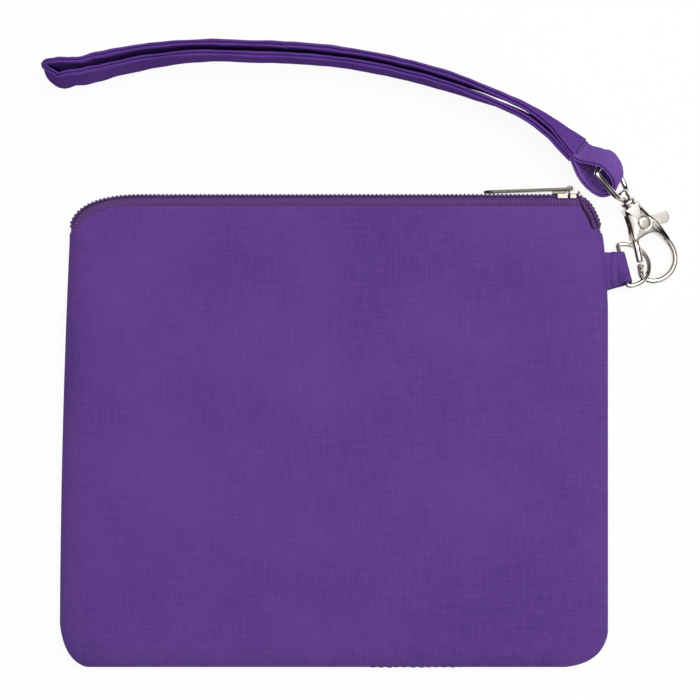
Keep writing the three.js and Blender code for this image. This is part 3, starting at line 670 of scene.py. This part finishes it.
def tapePiece(name, side):
    # a strip along the outline: from deep inside, out over the shoulder and down to the coil, and back
    deepIn = 1 - zipLook["tapeDeep"] / halfHeight
    t = np.concatenate([np.linspace(0, 0.6, 8), np.linspace(0.6, 1, 26)[1:]])
    shares = np.tile((deepIn + (1 - deepIn) * t)[:, None], len(outline))
    layers = []
    for extra, order in ((0, 1), (pouch["tapeCloth"], -1)):
        rings = clothRings(side, zipLook["tapeInset"] + extra, zipLevel + extra, zipLook["gap"] / 2, shares)
        layers.append(rings[:, zipPart][::order])
    piece = sweepPiece(name, np.concatenate(layers).transpose(1, 0, 2)[:, ::side], zipTapeKnit)
    cleanMesh(piece.data)
    return piece


for side, half in halves:
    place(tapePiece("zipTape" + half.capitalize(), side), "pouch", "zip_tape", "zip_tape_" + half)


def coilPath(mark, out, z):
    # places beside the zip's line: out of it and up, tucked in at both ends, and at the slider's corner
    # rolled back about the line by out' = out cos - z sin and z' = z cos + out sin
    tucked = zipLook["tuck"] * (1 - zipShare(outline[zipPart, 1]))
    step = zipLook["proud"] - pouch["coilHeight"] / 2 - tucked
    line = outline[zipPart] + outwards[zipPart] * step[:, None]
    run = runOf(line)
    mark = mark * run[-1]
    flat, normal = resampled(line, run, mark), resampled(outwards[zipPart], run, mark)
    start, over = zipLook["rollFrom"]
    share = eased(fade(flat[:, 0], halfWidth - start, over))
    share = share * fade(flat[:, 1] - pouch["zipFoot"], *zipLook["rollFoot"])
    roll = zipLook["roll"] * share
    rolledOut = out * np.cos(roll) - z * np.sin(roll) - zipLook["rollIn"] * share
    rolledUp = z * np.cos(roll) + out * np.sin(roll) + zipLook["rollUp"] * share
    points = np.column_stack([flat + normal * rolledOut[:, None], pouch["seam"] + rolledUp])
    tangent = unit(np.column_stack([np.gradient(flat, axis=0), np.zeros(len(flat))]))
    return points, tangent, roll, run[-1]


def coilPiece(name, side):
    # a flattened helix along the zip: across = a cos(turn), outwards = b sin(turn)
    length = coilPath(np.linspace(0, 1, 3), 0, 0)[3]
    turns = int(length / zipLook["pitch"])
    angle = np.linspace(0, 2 * np.pi * turns, turns * zipLook["turnPoints"] + 1)
    strand = zipLook["strand"]
    outer = pouch["coilSplit"] / 2 + pouch["coilWidth"] - strand
    inner = zipLook["gap"] / 2 + strand
    z = side * ((outer + inner) / 2 - (outer - inner) / 2 * np.cos(angle))
    out = (pouch["coilHeight"] / 2 - strand) * np.sin(angle)
    points, tangent, _, _ = coilPath(angle / angle[-1], out, z)
    points += tangent * (zipLook["sway"] * np.sin(2 * angle))[:, None]
    return wirePiece(name, points, tangent, strand, coilMaterial)


def cordPiece(name, side):
    # the flat cord that the turns are sewn round
    middle = side * (zipLook["gap"] / 2 + pouch["coilSplit"] / 2 + pouch["coilWidth"]) / 2
    points, tangent, roll, _ = coilPath(np.linspace(0, 1, 320), zipLook["cordOut"], middle)
    roll = roll[:, None]
    up = upright * np.cos(roll) - np.cross(upright, tangent) * np.sin(roll)
    rings = sweepPoints(points, unit(up), zipLook["cord"][1], zipLook["cord"][0], roundSection(12))
    return sweepPiece(name, rings, zipTapeKnit)


for side, half in halves:
    place(coilPiece("zipCoil" + half.capitalize(), side), "pouch", "zip_coil", "zip_coil_" + half)
    place(cordPiece("zipCord" + half.capitalize(), side), "pouch", "zip_tape")


def tapeStitches(name, side):
    # a lockstitch row beside the coil: short threads that dip into the tape at both ends
    inset = zipLook["tapeInset"]
    share = np.full((1, len(outline)), 1 - (zipLook["stitchInset"] - inset) / halfHeight)
    ring = clothRings(side, inset, zipLevel, zipLook["gap"] / 2, share)[0]
    line = ring[outline[:, 1] > halfHeight - 1e-6]
    run = runOf(line)
    mark = np.arange(0, run[-1], 0.25)
    line = resampled(line, run, mark)
    arch = np.abs(np.sin(np.pi * mark / zipLook["stitch"]))
    line[:, 2] += side * (zipLook["stitchRise"] * arch - zipLook["stitchSunk"])
    return wirePiece(name, line, upright, zipLook["thread"], threadMaterial)


for side, half in halves:
    stitchRow = tapeStitches("zipStitching" + half.capitalize(), side)
    place(stitchRow, "pouch", "sewing_thread", "tape_stitching_" + half)
print("zip made")

# Frames of the moving fittings, read from the joints

joints = {joint["name"]: joint for joint in frame["joints"]}
ringPlace, claspPlace, eyeBar = (np.array(joints[name]["pos_m"]) / mm
                                 for name in ("d_ring_swing", "trigger_swing", "strap_swing"))
ringAxis, hookAxis, rivetAxis, stemAxis, barAxis = (
    unit(np.array(joints[name]["axis"], float))
    for name in ("d_ring_swing", "clasp_round_ring", "trigger_swing", "swivel", "strap_swing"))


def axesFrom(x, y):
    # rows x, y and z of a right-handed frame
    return np.array([x, y, np.cross(x, y)])


def fromFrame(points, axes, origin):
    return np.asarray(points, float) @ axes + origin


ringFrame = np.array([np.cross(ringAxis, hookAxis), ringAxis, hookAxis])
claspFrame = axesFrom(stemAxis, np.cross(rivetAxis, stemAxis))
eyeFrame = axesFrom(stemAxis, barAxis)

# Wrist strap

strap = {
    "width": 12,
    "leg": 2,  # thickness of one folded leg
    "lift": 0.05,
    "rise": 1.1,
    "step": 0.7,  # between the mesh's rings
    "swell": (0.07, 19),  # unevenness of the thickness, as a share, and its wavelength
    "tip": (0.25, 3),  # how much flatter the far fold is, as a share, and its reach
    "crumple": (0.05, 0.3),  # height of the creases along the legs, and what the far fold adds
    "crumpleReach": 34,
    "creaseLength": 7,
    "lobePly": 1.6,
    "lobeStep": 0.5,
    "lobeMiddle": (2.2, 0, -2),  # in the eye's frame
    "cup": 3.5,  # of the small loop's low edge
    "cupFrom": ((-3, -1.2), (3.5, 2)),  # along the clasp and down, where that begins and grows over
}

# half of the folded strip's section: two rolled edges with a groove between them at s = -1, and one
# fold at s = 1
halfStrip = np.array([
    (-0.84, 0.0), (-0.875, 0.09), (-0.93, 0.17), (-0.985, 0.3), (-1.0, 0.5), (-0.985, 0.72), (-0.94, 0.9),
    (-0.87, 1.0), (-0.76, 1.02), (-0.6, 0.98), (-0.4, 0.96), (-0.15, 0.97), (0.1, 0.98), (0.35, 0.98),
    (0.6, 0.99), (0.8, 0.98), (0.91, 0.88), (0.97, 0.66), (0.995, 0.36), (1.0, 0.0)])
stripSection = np.vstack([halfStrip, halfStrip[-2:0:-1] * [1, -1]])[::-1]

# the far fold's top edge and its foot, x and y of each, from the middle of the eye's bar
strapFold = np.array([
    (-163, 30.5, -163.2, 28.7), (-165.1, 30.9, -166, 29.7), (-166.4, 30.1, -167.9, 29.6),
    (-165.6, 28.8, -167, 27.8), (-163.7, 27.35, -165, 26), (-161.6, 26.2, -162.6, 24.5)])
# x and y from the same point, distance between the legs' middles, share of the twist towards the eye,
# lean of the far end
strapRun = np.array([
    (-159.2, 27.6, 3.9, 0, 0.17), (-153.36, 28.7, 3.8, 0, 0.15), (-145.46, 30.55, 3.7, 0, 0.12),
    (-135.86, 32.5, 3.5, 0, 0.09), (-120.86, 34.17, 3.2, 0, 0.03), (-105.46, 33.97, 3.3, 0, 0),
    (-90.46, 33.37, 3.2, 0, 0), (-75.46, 31.77, 3, 0, 0), (-60.46, 28.87, 3, 0, 0),
    (-45.46, 24.77, 2.9, 0.03, 0), (-30.36, 19.37, 2.7, 0.24, 0), (-21.96, 15.47, 2.6, 0.34, 0),
    (-15.16, 10.97, 2.4, 0.5, 0), (-10.86, 7.37, 2, 0.75, 0), (-7.26, 4.47, 1.7, 0.97, 0)])
# the small loop round the eye, in the eye's own frame: along the clasp, out of the loop, and width
lobeRun = np.array([
    (-7.7, -3.9, 11.8), (-5.4, -3, 11.5), (-3.3, -0.7, 11), (-1, 1.8, 10.6), (1.4, 2.5, 10), (4, 2.4, 9),
    (6.2, 1.5, 7.4), (7.6, 0.3, 6.7), (8.2, -1.3, 6.6), (8.1, -3, 6.9), (7.2, -4.5, 7.8), (4.8, -5.6, 9),
    (2, -6.1, 10), (-0.9, -6.1, 10.6), (-3.8, -5.5, 11), (-5.9, -4.9, 11.5), (-7.7, -4.6, 11.8)])


def strapLegs():
    # each leg's middle line, beside the run's, with the direction of its width
    runLine = np.column_stack([strapRun[:, :2] + eyeBar[:2], np.zeros(len(strapRun)), strapRun[:, 2:]])
    runLine = smoothLine(runLine, strap["step"])
    forward = unit(np.gradient(runLine[:, :3], axis=0))
    apart, twist, lean = (runLine[:, k:k + 1] for k in (3, 4, 5))
    down = np.hstack([0 * lean, -lean, -1 + 0 * lean])
    across = unit(unit(down) * (1 - twist) + eyeFrame[1] * twist)
    out = unit(np.cross(across, forward))
    reach = np.abs(across[:, 2:]) * strap["width"] + np.abs(out[:, 2:]) * (apart + strap["leg"])
    middle = runLine[:, :3].copy()
    middle[:, 2:] = reach / 2 + strap["lift"] + strap["rise"] * twist ** 2
    return [(middle + side * out * apart / 2, across) for side in (-1, 1)]


def wristLoop():
    (lowLeg, lowAcross), (highLeg, highAcross) = strapLegs()
    crest, foot = strapFold[:, :2] + eyeBar[:2], strapFold[:, 2:] + eyeBar[:2]
    fold = np.column_stack([(crest + foot) / 2, np.full(len(crest), strap["width"] / 2 + strap["lift"])])
    foldAcross = unit(np.column_stack([foot - crest, np.full(len(crest), -strap["width"])]))
    line = np.vstack([lowLeg[::-1], fold, highLeg])
    across = np.vstack([lowAcross[::-1], foldAcross, highAcross])
    both = smoothLine(np.column_stack([line, across]), strap["step"])
    line, across = both[:, :3], unit(both[:, 3:])
    mark = np.arange(len(line)) * strap["step"]
    (share, length), (flatter, reach) = strap["swell"], strap["tip"]
    tip = np.linalg.norm(line[:, :2] - fold[2, :2], axis=1)
    swell = 1 + share * ripple(mark, 0 * mark, length, 5) - flatter * np.exp(-(tip / reach) ** 2)
    rings = sweepPoints(line, across, strap["width"] / 2, strap["leg"] / 2 * swell, stripSection)
    # creases that slant across the strip, strongest round the fold and fading along the legs
    farShare = 1 - fade(line[:, 0], line[:, 0].min(), strap["crumpleReach"])
    out = np.cross(across, unit(np.gradient(line, axis=0)))
    height = stripSection[:, 0] * strap["width"] / 2
    crease = ripple(mark[:, None] + 0.5 * height, height[None], strap["creaseLength"], 17)
    even, far = strap["crumple"]
    amount = far * farShare ** 1.5 + even
    return rings + out[:, None] * (amount[:, None] * crease)[..., None]


def lobeRings():
    line = smoothLine(np.insert(lobeRun, 1, 0, axis=1), strap["lobeStep"])
    points = fromFrame(line[:, :3], eyeFrame, eyeBar)
    rings = sweepPoints(points, eyeFrame[1], line[:, 3] / 2, strap["lobePly"] / 2, stripSection)
    # under the bar and past it the low edge is cupped into the loop
    inwards = unit(fromFrame(strap["lobeMiddle"], eyeFrame, eyeBar) - points)
    share = fade(line[:, [0, 2]] * [1, -1], *strap["cupFrom"]).prod(1)
    cup = strap["cup"] * share[:, None] * ((stripSection[:, 0] + 1) / 2) ** 2
    return rings + inwards[:, None] * cup[..., None]


loopPiece = sweepPiece("wristLoop", wristLoop(), strapCotton, bulge=0.3)
place(loopPiece, "strap", "panel_cotton", "wrist_strap")
lobePiece = sweepPiece("wristStrapEnd", lobeRings(), litLobeCotton, bulge=0.3)
place(lobePiece, "strap", "panel_cotton")
print("wrist strap made")

# Tab that holds the ring

tab = {
    "drop": 22.9,  # from the pouch's top to the tab's middle
    "seamWidth": 11.4,
    "foldWidth": 9.9,  # inside the ring
    "shift": -1,  # along the ring's bar
    "ply": 0.6,
    "rootRadius": 0.34,  # half the distance between the plies at the seam
    "foldRadius": 1.26,  # to the middle of the ply, round the ring's bar
    "tuck": 0.5,  # into the seam
    "crease": 0.16,
    "creaseLength": 2.3,
    "creaseField": (5.5, 6),  # half width and depth of the cloth that the creases are laid over
    "crumple": ((0.7, 9), (0.6, 4)),  # amount and wavelength of what bends the creases and what is added
    "underCrease": 0.4,  # share of the creases in the lower ply
    "flare": 1.3,  # power by which the plies part towards the bar
    "sideFrom": (75, -60),  # x and y past which the outline is the pouch's right side
}


def tabPoints():
    # rows across the tab, columns from the seam over the bar and back: straight, half a turn, straight
    share = np.linspace(-1, 1, 45)[:, None]
    y = halfHeight - tab["drop"] + share * tab["seamWidth"] / 2
    side = outline[(outline > tab["sideFrom"]).all(1)]  # runs down
    seamLine = np.interp(-y, -side[:, 1], side[:, 0])
    root = np.hstack([seamLine - tab["tuck"], y, 0 * y + pouch["seam"]])
    fold = ringPlace + ringFrame[1] * (tab["shift"] + share * tab["foldWidth"] / 2)
    out = unit(fold - root)
    up = unit(np.cross(out, ringFrame[1]))
    t = np.linspace(0, 1, 22)
    turn = np.linspace(np.pi / 2, -np.pi / 2, 15)[1:-1]
    rise = tab["rootRadius"] + (tab["foldRadius"] - tab["rootRadius"]) * t ** tab["flare"]
    along = np.concatenate([t, 1 + 0 * turn, t[::-1]])
    reach = tab["foldRadius"] * np.concatenate([0 * t, np.cos(turn), 0 * t])
    lift = np.concatenate([rise, tab["foldRadius"] * np.sin(turn), -rise[::-1]])
    points = (root[:, None] + (fold - root)[:, None] * along[None, :, None]
              + out[:, None] * reach[None, :, None] + up[:, None] * lift[None, :, None])
    (fieldHalf, fieldDeep), ((phase, long), (added, short)) = tab["creaseField"], tab["crumple"]
    depth = np.broadcast_to((along * fieldDeep + reach)[None, :], points.shape[:2])
    wide = np.broadcast_to(share * fieldHalf, points.shape[:2])
    crease = (np.sin(2 * np.pi * depth / tab["creaseLength"] + phase * ripple(wide, depth, long, 3))
              + added * ripple(wide, depth, short, 8))
    bend = tab["crease"] * np.sin(np.pi * np.clip(along, 0, 1))[None, :] * crease
    return points + up[:, None] * np.where(lift > 0, 1, tab["underCrease"])[None, :, None] * bend[..., None]


def clothSheet(name, points, thickness, material):
    # a sheet with its own thickness: its two faces half of it to each side, joined round the rim
    rows, columns = points.shape[:2]
    normal = unit(np.cross(np.gradient(points, axis=0), np.gradient(points, axis=1))) * thickness / 2
    skin = np.concatenate([points + normal, points - normal])
    top, count = gridFaces(rows, columns), rows * columns
    i, j = np.arange(rows), np.arange(columns)
    rim = np.concatenate([j, i[1:] * columns + columns - 1, (rows - 1) * columns + j[::-1][1:],
                          i[::-1][1:] * columns])
    sides = np.stack([rim[:-1], rim[1:], rim[1:] + count, rim[:-1] + count], -1)
    runs = [np.concatenate([[0], np.cumsum(np.linalg.norm(np.diff(points, axis=k), axis=2).mean(1 - k))])
            for k in (0, 1)]
    uv = np.stack(np.meshgrid(*runs, indexing="ij"), -1).reshape(-1, 2) * mm
    piece = makePiece(name, skin, [top[:, ::-1], top + count, sides], material, np.vstack([uv, uv]))
    cleanMesh(piece.data)
    return piece


place(clothSheet("dRingTab", tabPoints(), tab["ply"], tabCotton), "pouch", "panel_cotton", "d_ring_tab")
print("tab made")

# Metal fittings

fittings = {
    "ringWire": 0.75,  # radius
    "ringHalf": 7.1,
    "ringStraight": 0.9,
    "ringBend": 0.7,
    "eyeWire": 0.9,
    "eyeHalf": 6.4,
    "eyeReach": 21.6,
    "neck": -8.5,  # of the eye, at the collar
    "bodyHalf": 2.3,  # half of the clasp body's thickness
    "bodyRound": 0.55,  # radius along its edges
    "slotSideRound": 1.8,  # what its long sides add to that
    "backSideRound": 1.2,
    "slotHalf": 1.15,
    "longSide": ((-1.8, 3), (-6.4, 1.5)),  # at the hook's end and the collar's: where it begins, grows over
    "faceCentre": (-1.2, -0.4),
    "facePillow": 0.06,  # of the face's middle over its edge
    "edgeDrop": 0.75,  # of the face's rounded edge, in its radius
    "hookThin": (3.2, 5, 0.5),  # where the body thins towards the hook, over what length, and by what share
    "springTurn": 1.78,  # radius
    "springLevel": (0.31, 0.28),  # of its first turn over the body's middle, and what two turns add
    "springWire": 0.13,
    "splitAt": 0.6,  # of the slider's wings, from the middle
    "splitHalf": 0.3,
}
acrossFrame = claspFrame[[2, 0, 1]]  # x along the rivet


def flatKnots(points):
    return np.pad(np.array(points, float), ((0, 0), (0, 1)))


def wireRings(knots, axes, origin, radius=None):
    # a wire along knots in a frame: a closed round one of this radius, or without it an open one whose
    # knots end with its half width and half height
    closed = radius is not None
    line = smoothLine(knots, 0.35 if closed else 0.3, closed)
    sizes = (radius, radius) if closed else (line[:, 4], line[:, 3])
    return sweepPoints(fromFrame(line[:, :3], axes, origin), axes[2], *sizes, roundSection(20), closed)


def turned(name, profile, axes):
    # a profile of (distance along x, radius) turned about the frame's x axis, from the rivet's middle
    angle = 2 * np.pi * np.arange(48) / 48
    x, radius = np.array(profile, float).T[..., None]
    rings = np.stack(np.broadcast_arrays(x, radius * np.cos(angle), radius * np.sin(angle)), -1)
    return sweepPiece(name, fromFrame(rings, axes, claspPlace), castNickel)


def slabPiece(name, edge, low, high, axes, origin):
    # a flat outline between two levels
    rings = np.stack([np.column_stack([edge, np.full(len(edge), level)]) for level in (low, high)])
    return sweepPiece(name, fromFrame(rings, axes, origin), castNickel)


def applyModifiers(piece):
    graph = bpy.context.evaluated_depsgraph_get()
    mesh = bpy.data.meshes.new_from_object(piece.evaluated_get(graph))
    piece.modifiers.clear()
    piece.data = mesh


def turnOut(piece):
    cleanMesh(piece.data, 0.001)
    return piece


def cutAway(piece, *cutters):
    turnOut(piece)
    for cutter in cutters:
        cut = piece.modifiers.new("cut", "BOOLEAN")
        cut.operation, cut.solver, cut.object = "DIFFERENCE", "EXACT", turnOut(cutter)
        applyModifiers(piece)
    return piece


castSkins = {  # size of the skin's mesh, and how many rounds ease its edges
    "swivelEyeLoop": (0.12, 5),
    "claspBodyCast": (0.14, 2),
    "claspHookBody": (0.12, 4),
    "claspTriggerLever": (0.1, 4),
    "zipSliderBody": (0.09, 4),
    "zipPullPlate": (0.09, 3),
    "strapStitching": (0.1, 4),
}


def fused(name, pieces, material):
    # one cast skin over overlapping solids, with every edge eased
    voxel, rounds = castSkins[name]
    work = bmesh.new()
    for piece in pieces:
        work.from_mesh(piece.data)
        bpy.data.objects.remove(piece)
    mesh = bpy.data.meshes.new(name)
    work.to_mesh(mesh)
    work.free()
    mesh.materials.clear()
    mesh.materials.append(material)
    whole = addObject(name, mesh)
    remesh = whole.modifiers.new("castSkin", "REMESH")
    remesh.mode, remesh.voxel_size, remesh.use_smooth_shade = "VOXEL", voxel * mm, True
    ease = whole.modifiers.new("easedEdges", "SMOOTH")
    ease.factor, ease.iterations = 0.5, rounds
    applyModifiers(whole)
    whole.data.name = name
    return whole


def nodeCopy(node):
    # a CAD node's solid as a mesh of joined faces
    piece = addObject(node + "Copy", nodes[node].data.copy())
    cleanMesh(piece.data, 0.002)
    return piece


# D-ring: its bar, two rounded corners and a half circle
bend, ringHalf = fittings["ringBend"], fittings["ringHalf"]
cut = 0.3 * bend  # from a corner's tip to the middle of its bend, each way
arc = np.pi / 2 - np.pi * np.arange(17) / 16
bow = flatKnots(np.vstack([
    [(0, y) for y in np.linspace(bend - ringHalf, ringHalf - bend, 9)],
    [(cut, ringHalf - cut)],
    np.stack([fittings["ringStraight"] + ringHalf * np.cos(arc), ringHalf * np.sin(arc)], -1),
    [(cut, cut - ringHalf)]]))
ringWire = wireRings(bow, ringFrame, ringPlace, fittings["ringWire"])
place(sweepPiece("dRingWire", ringWire, wireNickel, closed=True), "ring", "nickel_plate", "d_ring")

# Swivel eye: a bent loop on a turned base, and a stem riveted over inside the collar
eyeWire, eyeReach, eyeHalf = (fittings[k] for k in ("eyeWire", "eyeReach", "eyeHalf"))
shank = fittings["neck"] - eyeWire
eyeSide = np.array([
    (shank - 0.3, 1.8), (shank - 1.3, 3.2), (shank - 2.8, 4.3), (-16.2, 5.35), (1.5 - eyeReach, eyeHalf),
    (0.4 - eyeReach, eyeHalf - 0.4), (-eyeReach, eyeHalf - 1.5), (-eyeReach, 2.5)])
eyeKnots = flatKnots(np.vstack([[(shank, 0)], eyeSide, [(-eyeReach, 0)], eyeSide[::-1] * [1, -1]]))
eyeRings = wireRings(eyeKnots, eyeFrame, claspPlace, eyeWire)
eyeLoop = sweepPiece("eyeLoop", eyeRings, wireNickel, closed=True)
eyeBase = turned("eyeBase", [
    (-11.7, 0.8), (-11.6, 1.4), (-11.3, 1.75), (-10.9, 1.85), (-8.95, 1.85), (-8.65, 1.7), (-8.5, 1.3),
    (-8.4, 1.1), (-5.9, 1.1), (-5.85, 1.55), (-5.3, 1.6), (-5.1, 1.3)], eyeFrame)
eyePiece = fused("swivelEyeLoop", [turnOut(eyeLoop), turnOut(eyeBase)], wireNickel)
place(eyePiece, "eye", "nickel_plate", "swivel_eye")

# Clasp: a pillow-shaped body with a slot for the lever, a turned collar, and the hook
cheeks = [(-6.5, -2.5), (-6.3, -2.95), (-2.3, -4.1), (1.6, -5.35), (2.8, -5.5), (3.1, -4.6), (3.2, -2.8),
          (3.4, -0.9), (4.3, 0.9), (5.9, 2.1), (7.8, 2.7), (9.2, 2.95), (9.4, 3.6), (9.2, 4.3), (7.8, 4.5),
          (5.5, 4.3), (2.5, 3.9), (-0.5, 3.4), (-5.2, 2.5), (-6.3, 2.4), (-6.5, 2.1)]
edge = smoothLine(flatKnots(cheeks), 0.25, True)[:, :2]
edgeAlong = unit(np.roll(edge, -1, 0) - np.roll(edge, 1, 0))
inward = np.stack([-edgeAlong[:, 1], edgeAlong[:, 0]], -1)
# the long sides are rounded wider than the ends, most on the side of the slot
longSide = (fade(sign * edge[:, 0], *span) for sign, span in zip((-1, 1), fittings["longSide"]))
bevel = np.where(edge[:, 1] < 0, fittings["slotSideRound"], fittings["backSideRound"])
bevel = (fittings["bodyRound"] + np.prod(list(longSide), axis=0) * bevel)[:, None]
faceEdge, faceCentre, top = edge + inward * bevel, np.array(fittings["faceCentre"]), fittings["bodyHalf"]
drop = bevel * fittings["edgeDrop"]
rings = [np.hstack([edge + inward * bevel * (1 - np.cos(turn)), top - drop * (1 - np.sin(turn))])
         for turn in np.linspace(0, np.pi / 2, 7)]
for share in (0.7, 0.35, 0.05):
    middle = faceCentre + (faceEdge - faceCentre) * share
    rings.append(np.column_stack([middle, np.full(len(edge), top + fittings["facePillow"] * (1 - share))]))
body = np.concatenate([np.array(rings[::-1]) * [1, 1, -1], rings])
thinFrom, thinOver, thinBy = fittings["hookThin"]
body[..., 2] *= 1 - thinBy * eased(fade(body[..., 0], thinFrom, thinOver))
bodyPiece = turnOut(sweepPiece("claspBody", fromFrame(body, claspFrame, claspPlace), castNickel))
bodyPiece = fused("claspBodyCast", [bodyPiece], castNickel)
collar = turned("claspCollar", [
    (-8.2, 0.6), (-8.2, 2.1), (-8.1, 2.35), (-7.9, 2.45), (-7.3, 2.45), (-7.15, 2.35), (-7.05, 2),
    (-6.7, 1.98), (-6.5, 2.15), (-5.8, 2.2), (-5.8, 0.6)], claspFrame)
slot = [(-4.8, -9), (9, -9), (9, 0.6), (4, 0.6), (4, 9), (-4.8, 9)]
bores = [
    slabPiece("slotCut", slot, -fittings["slotHalf"], fittings["slotHalf"], claspFrame, claspPlace),
    turned("stemCut", [(-9.5, 1.4), (-6, 1.4)], claspFrame),
    turned("chamberCut", [(-6.2, 1.9), (-4.6, 1.9)], claspFrame),
    turned("rivetCut", [(-4, 1.35), (4, 1.35)], acrossFrame),
    turned("headCut", [(2.02, 2.02), (4, 2.02)], acrossFrame),
    turned("backCut", [(-4, 2.02), (-2.02, 2.02)], acrossFrame)]
cutAway(bodyPiece, *bores)
cutAway(collar, *bores[1:3])
for bore in bores:
    bpy.data.objects.remove(bore)
hook = np.array([
    (4.6, 2.6, 0, 1, 1.2), (5.8, 3.1, 0, 1.05, 1.2), (8.3, 3.6, 0, 1, 1.15), (11, 3.8, 0, 0.95, 1.1),
    (13.6, 3.2, 0, 0.92, 1.05), (15.8, 1.7, 0, 0.9, 1.05), (17.3, -0.8, -0.2, 0.9, 1),
    (17.6, -3.9, -0.6, 0.88, 0.95), (16.6, -6.6, -1.1, 0.85, 0.85), (15, -8.2, -1.35, 0.82, 0.75),
    (13.9, -8.8, -1.25, 0.88, 0.78), (12.8, -8.85, -1, 0.98, 0.85), (11.8, -8.6, -0.45, 1.08, 0.93),
    (10.8, -8.25, 0.2, 1.12, 1), (9.85, -7.85, 0.85, 1.15, 1)])
hookPiece = turnOut(sweepPiece("claspHookWire", wireRings(hook, claspFrame, claspPlace), castNickel))
claspPiece = fused("claspHookBody", [bodyPiece, collar, hookPiece], castNickel)
place(claspPiece, "clasp", "nickel_plate", "clasp_hook")

# Lever with its thumb tab and gate
gate = np.array([(1.6, -4, -0.2, 0.8, 0.6), (3, -5, 0.5, 0.95, 0.8), (4.6, -5.7, 0.95, 1.05, 0.95),
                 (6.6, -6.5, 1, 1.08, 1), (8.4, -7.25, 1, 1.08, 1), (8.95, -7.48, 0.97, 1, 0.9)])
gatePiece = sweepPiece("gateRod", wireRings(gate, claspFrame, claspPlace), castNickel, bulge=0.2)
leverParts = [nodeCopy("clasp_trigger"), turnOut(gatePiece)]
leverPiece = fused("claspTriggerLever", leverParts, castNickel)
place(leverPiece, "trigger", "nickel_plate", "clasp_trigger")

# Rivet: a pin with two flat heads
headRise = np.array([(2.15, 1.2), (2.16, 1.66), (2.3, 1.7), (2.55, 1.68), (2.64, 1.58), (2.66, 1.3)])
rivetProfile = np.vstack([headRise[::-1] * [-1, 1], headRise])
place(turnOut(turned("claspRivetPin", rivetProfile, acrossFrame)), "clasp", "nickel_plate", "clasp_rivet")

# Torsion spring: two turns round the rivet, with a leg against the body and one against the lever
turn = np.linspace(0.2, 4 * np.pi + 0.9, 70)[22:]
level, climb = fittings["springLevel"]
coils = np.stack([fittings["springTurn"] * np.cos(turn), fittings["springTurn"] * np.sin(turn),
                  level + climb * turn / (4 * np.pi)], -1)
springLine = np.vstack([[(-4.1, 1.4, level), (-1.5, 1.75, level)], coils, [(-1.2, 3, 0.6)]])
springPiece = wirePiece("claspSpringCoil", fromFrame(springLine, claspFrame, claspPlace), claspFrame[2],
                        fittings["springWire"], wireNickel, sides=8)
place(springPiece, "clasp", "nickel_plate", "clasp_spring")

# Zip slider, whose side wings are split in the middle, and its pull
low, high = (np.array(v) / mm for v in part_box("zip_slider"))
split = (low[0] + high[0]) / 2 + fittings["splitAt"] + fittings["splitHalf"] * np.array([-1, 1, 1, -1])
notchEdge = np.column_stack([split, low[1] + np.array([-1, -1, 4.3, 4.3])])
notchPiece = slabPiece("wingSplit", notchEdge, low[2] - 1, high[2] + 1, np.eye(3), np.zeros(3))
sliderCast = cutAway(nodeCopy("zip_slider"), notchPiece)
bpy.data.objects.remove(notchPiece)
place(fused("zipSliderBody", [sliderCast], zipNickel), "slider", "nickel_plate", "zip_slider")
pullPiece = fused("zipPullPlate", [nodeCopy("zip_pull")], pullNickel)
place(pullPiece, "pull", "nickel_plate", "zip_pull")
print("metal fittings made")

# Threads by hand and across the strap

thread = {
    "start": 11.5,  # of the hand stitches along the bottom edge
    "length": 26.5,
    "stitches": 11,
    "radius": 0.11,
    "depth": 0.1,  # of the stitches into the edge, either way
    "height": 0.55,
    "inset": 0.02,
    "unevenness": (0.3, 0.05, 0.12),  # along the edge, across it and in height
    "unevenLength": 5,
    "pull": 0.16,  # share by which the strap's thread is drawn in
}
share = np.linspace(0, 1, 260)
turn = 2 * np.pi * thread["stitches"] * share
uneven = ripple(share * thread["length"], 0 * share, thread["unevenLength"], 41)
uneven = uneven[:, None] * thread["unevenness"]
handLine = np.stack([
    thread["start"] + thread["length"] * share + uneven[:, 0],
    -halfHeight + thread["inset"] - thread["depth"] * np.sin(turn) - uneven[:, 1],
    pouch["seam"] + (thread["height"] + uneven[:, 2]) * np.cos(turn)], -1)
handStitches = wirePiece("bottomHandStitches", handLine, np.array([0.0, 1, 0]), thread["radius"],
                         threadMaterial, sides=8)
place(handStitches, "pouch", "sewing_thread", "closing_stitches")
stitchPiece = fused("strapStitching", [nodeCopy("strap_stitching")], threadMaterial)
stitchPoints = np.zeros(len(stitchPiece.data.vertices) * 3)
stitchPiece.data.vertices.foreach_get("co", stitchPoints)
stitchPoints = stitchPoints.reshape(-1, 3)
pulled = unit(np.cross(eyeFrame[1], (1, -1, 0)))  # the thread is drawn into the cloth along this line
offset = (stitchPoints - stitchPoints.mean(0)) @ pulled
stitchPoints -= np.outer(offset * thread["pull"], pulled)
stitchPiece.data.vertices.foreach_set("co", stitchPoints.ravel())
stitchPiece.data.update()
place(stitchPiece, "strap", "sewing_thread", "strap_stitching")
print("threads made")
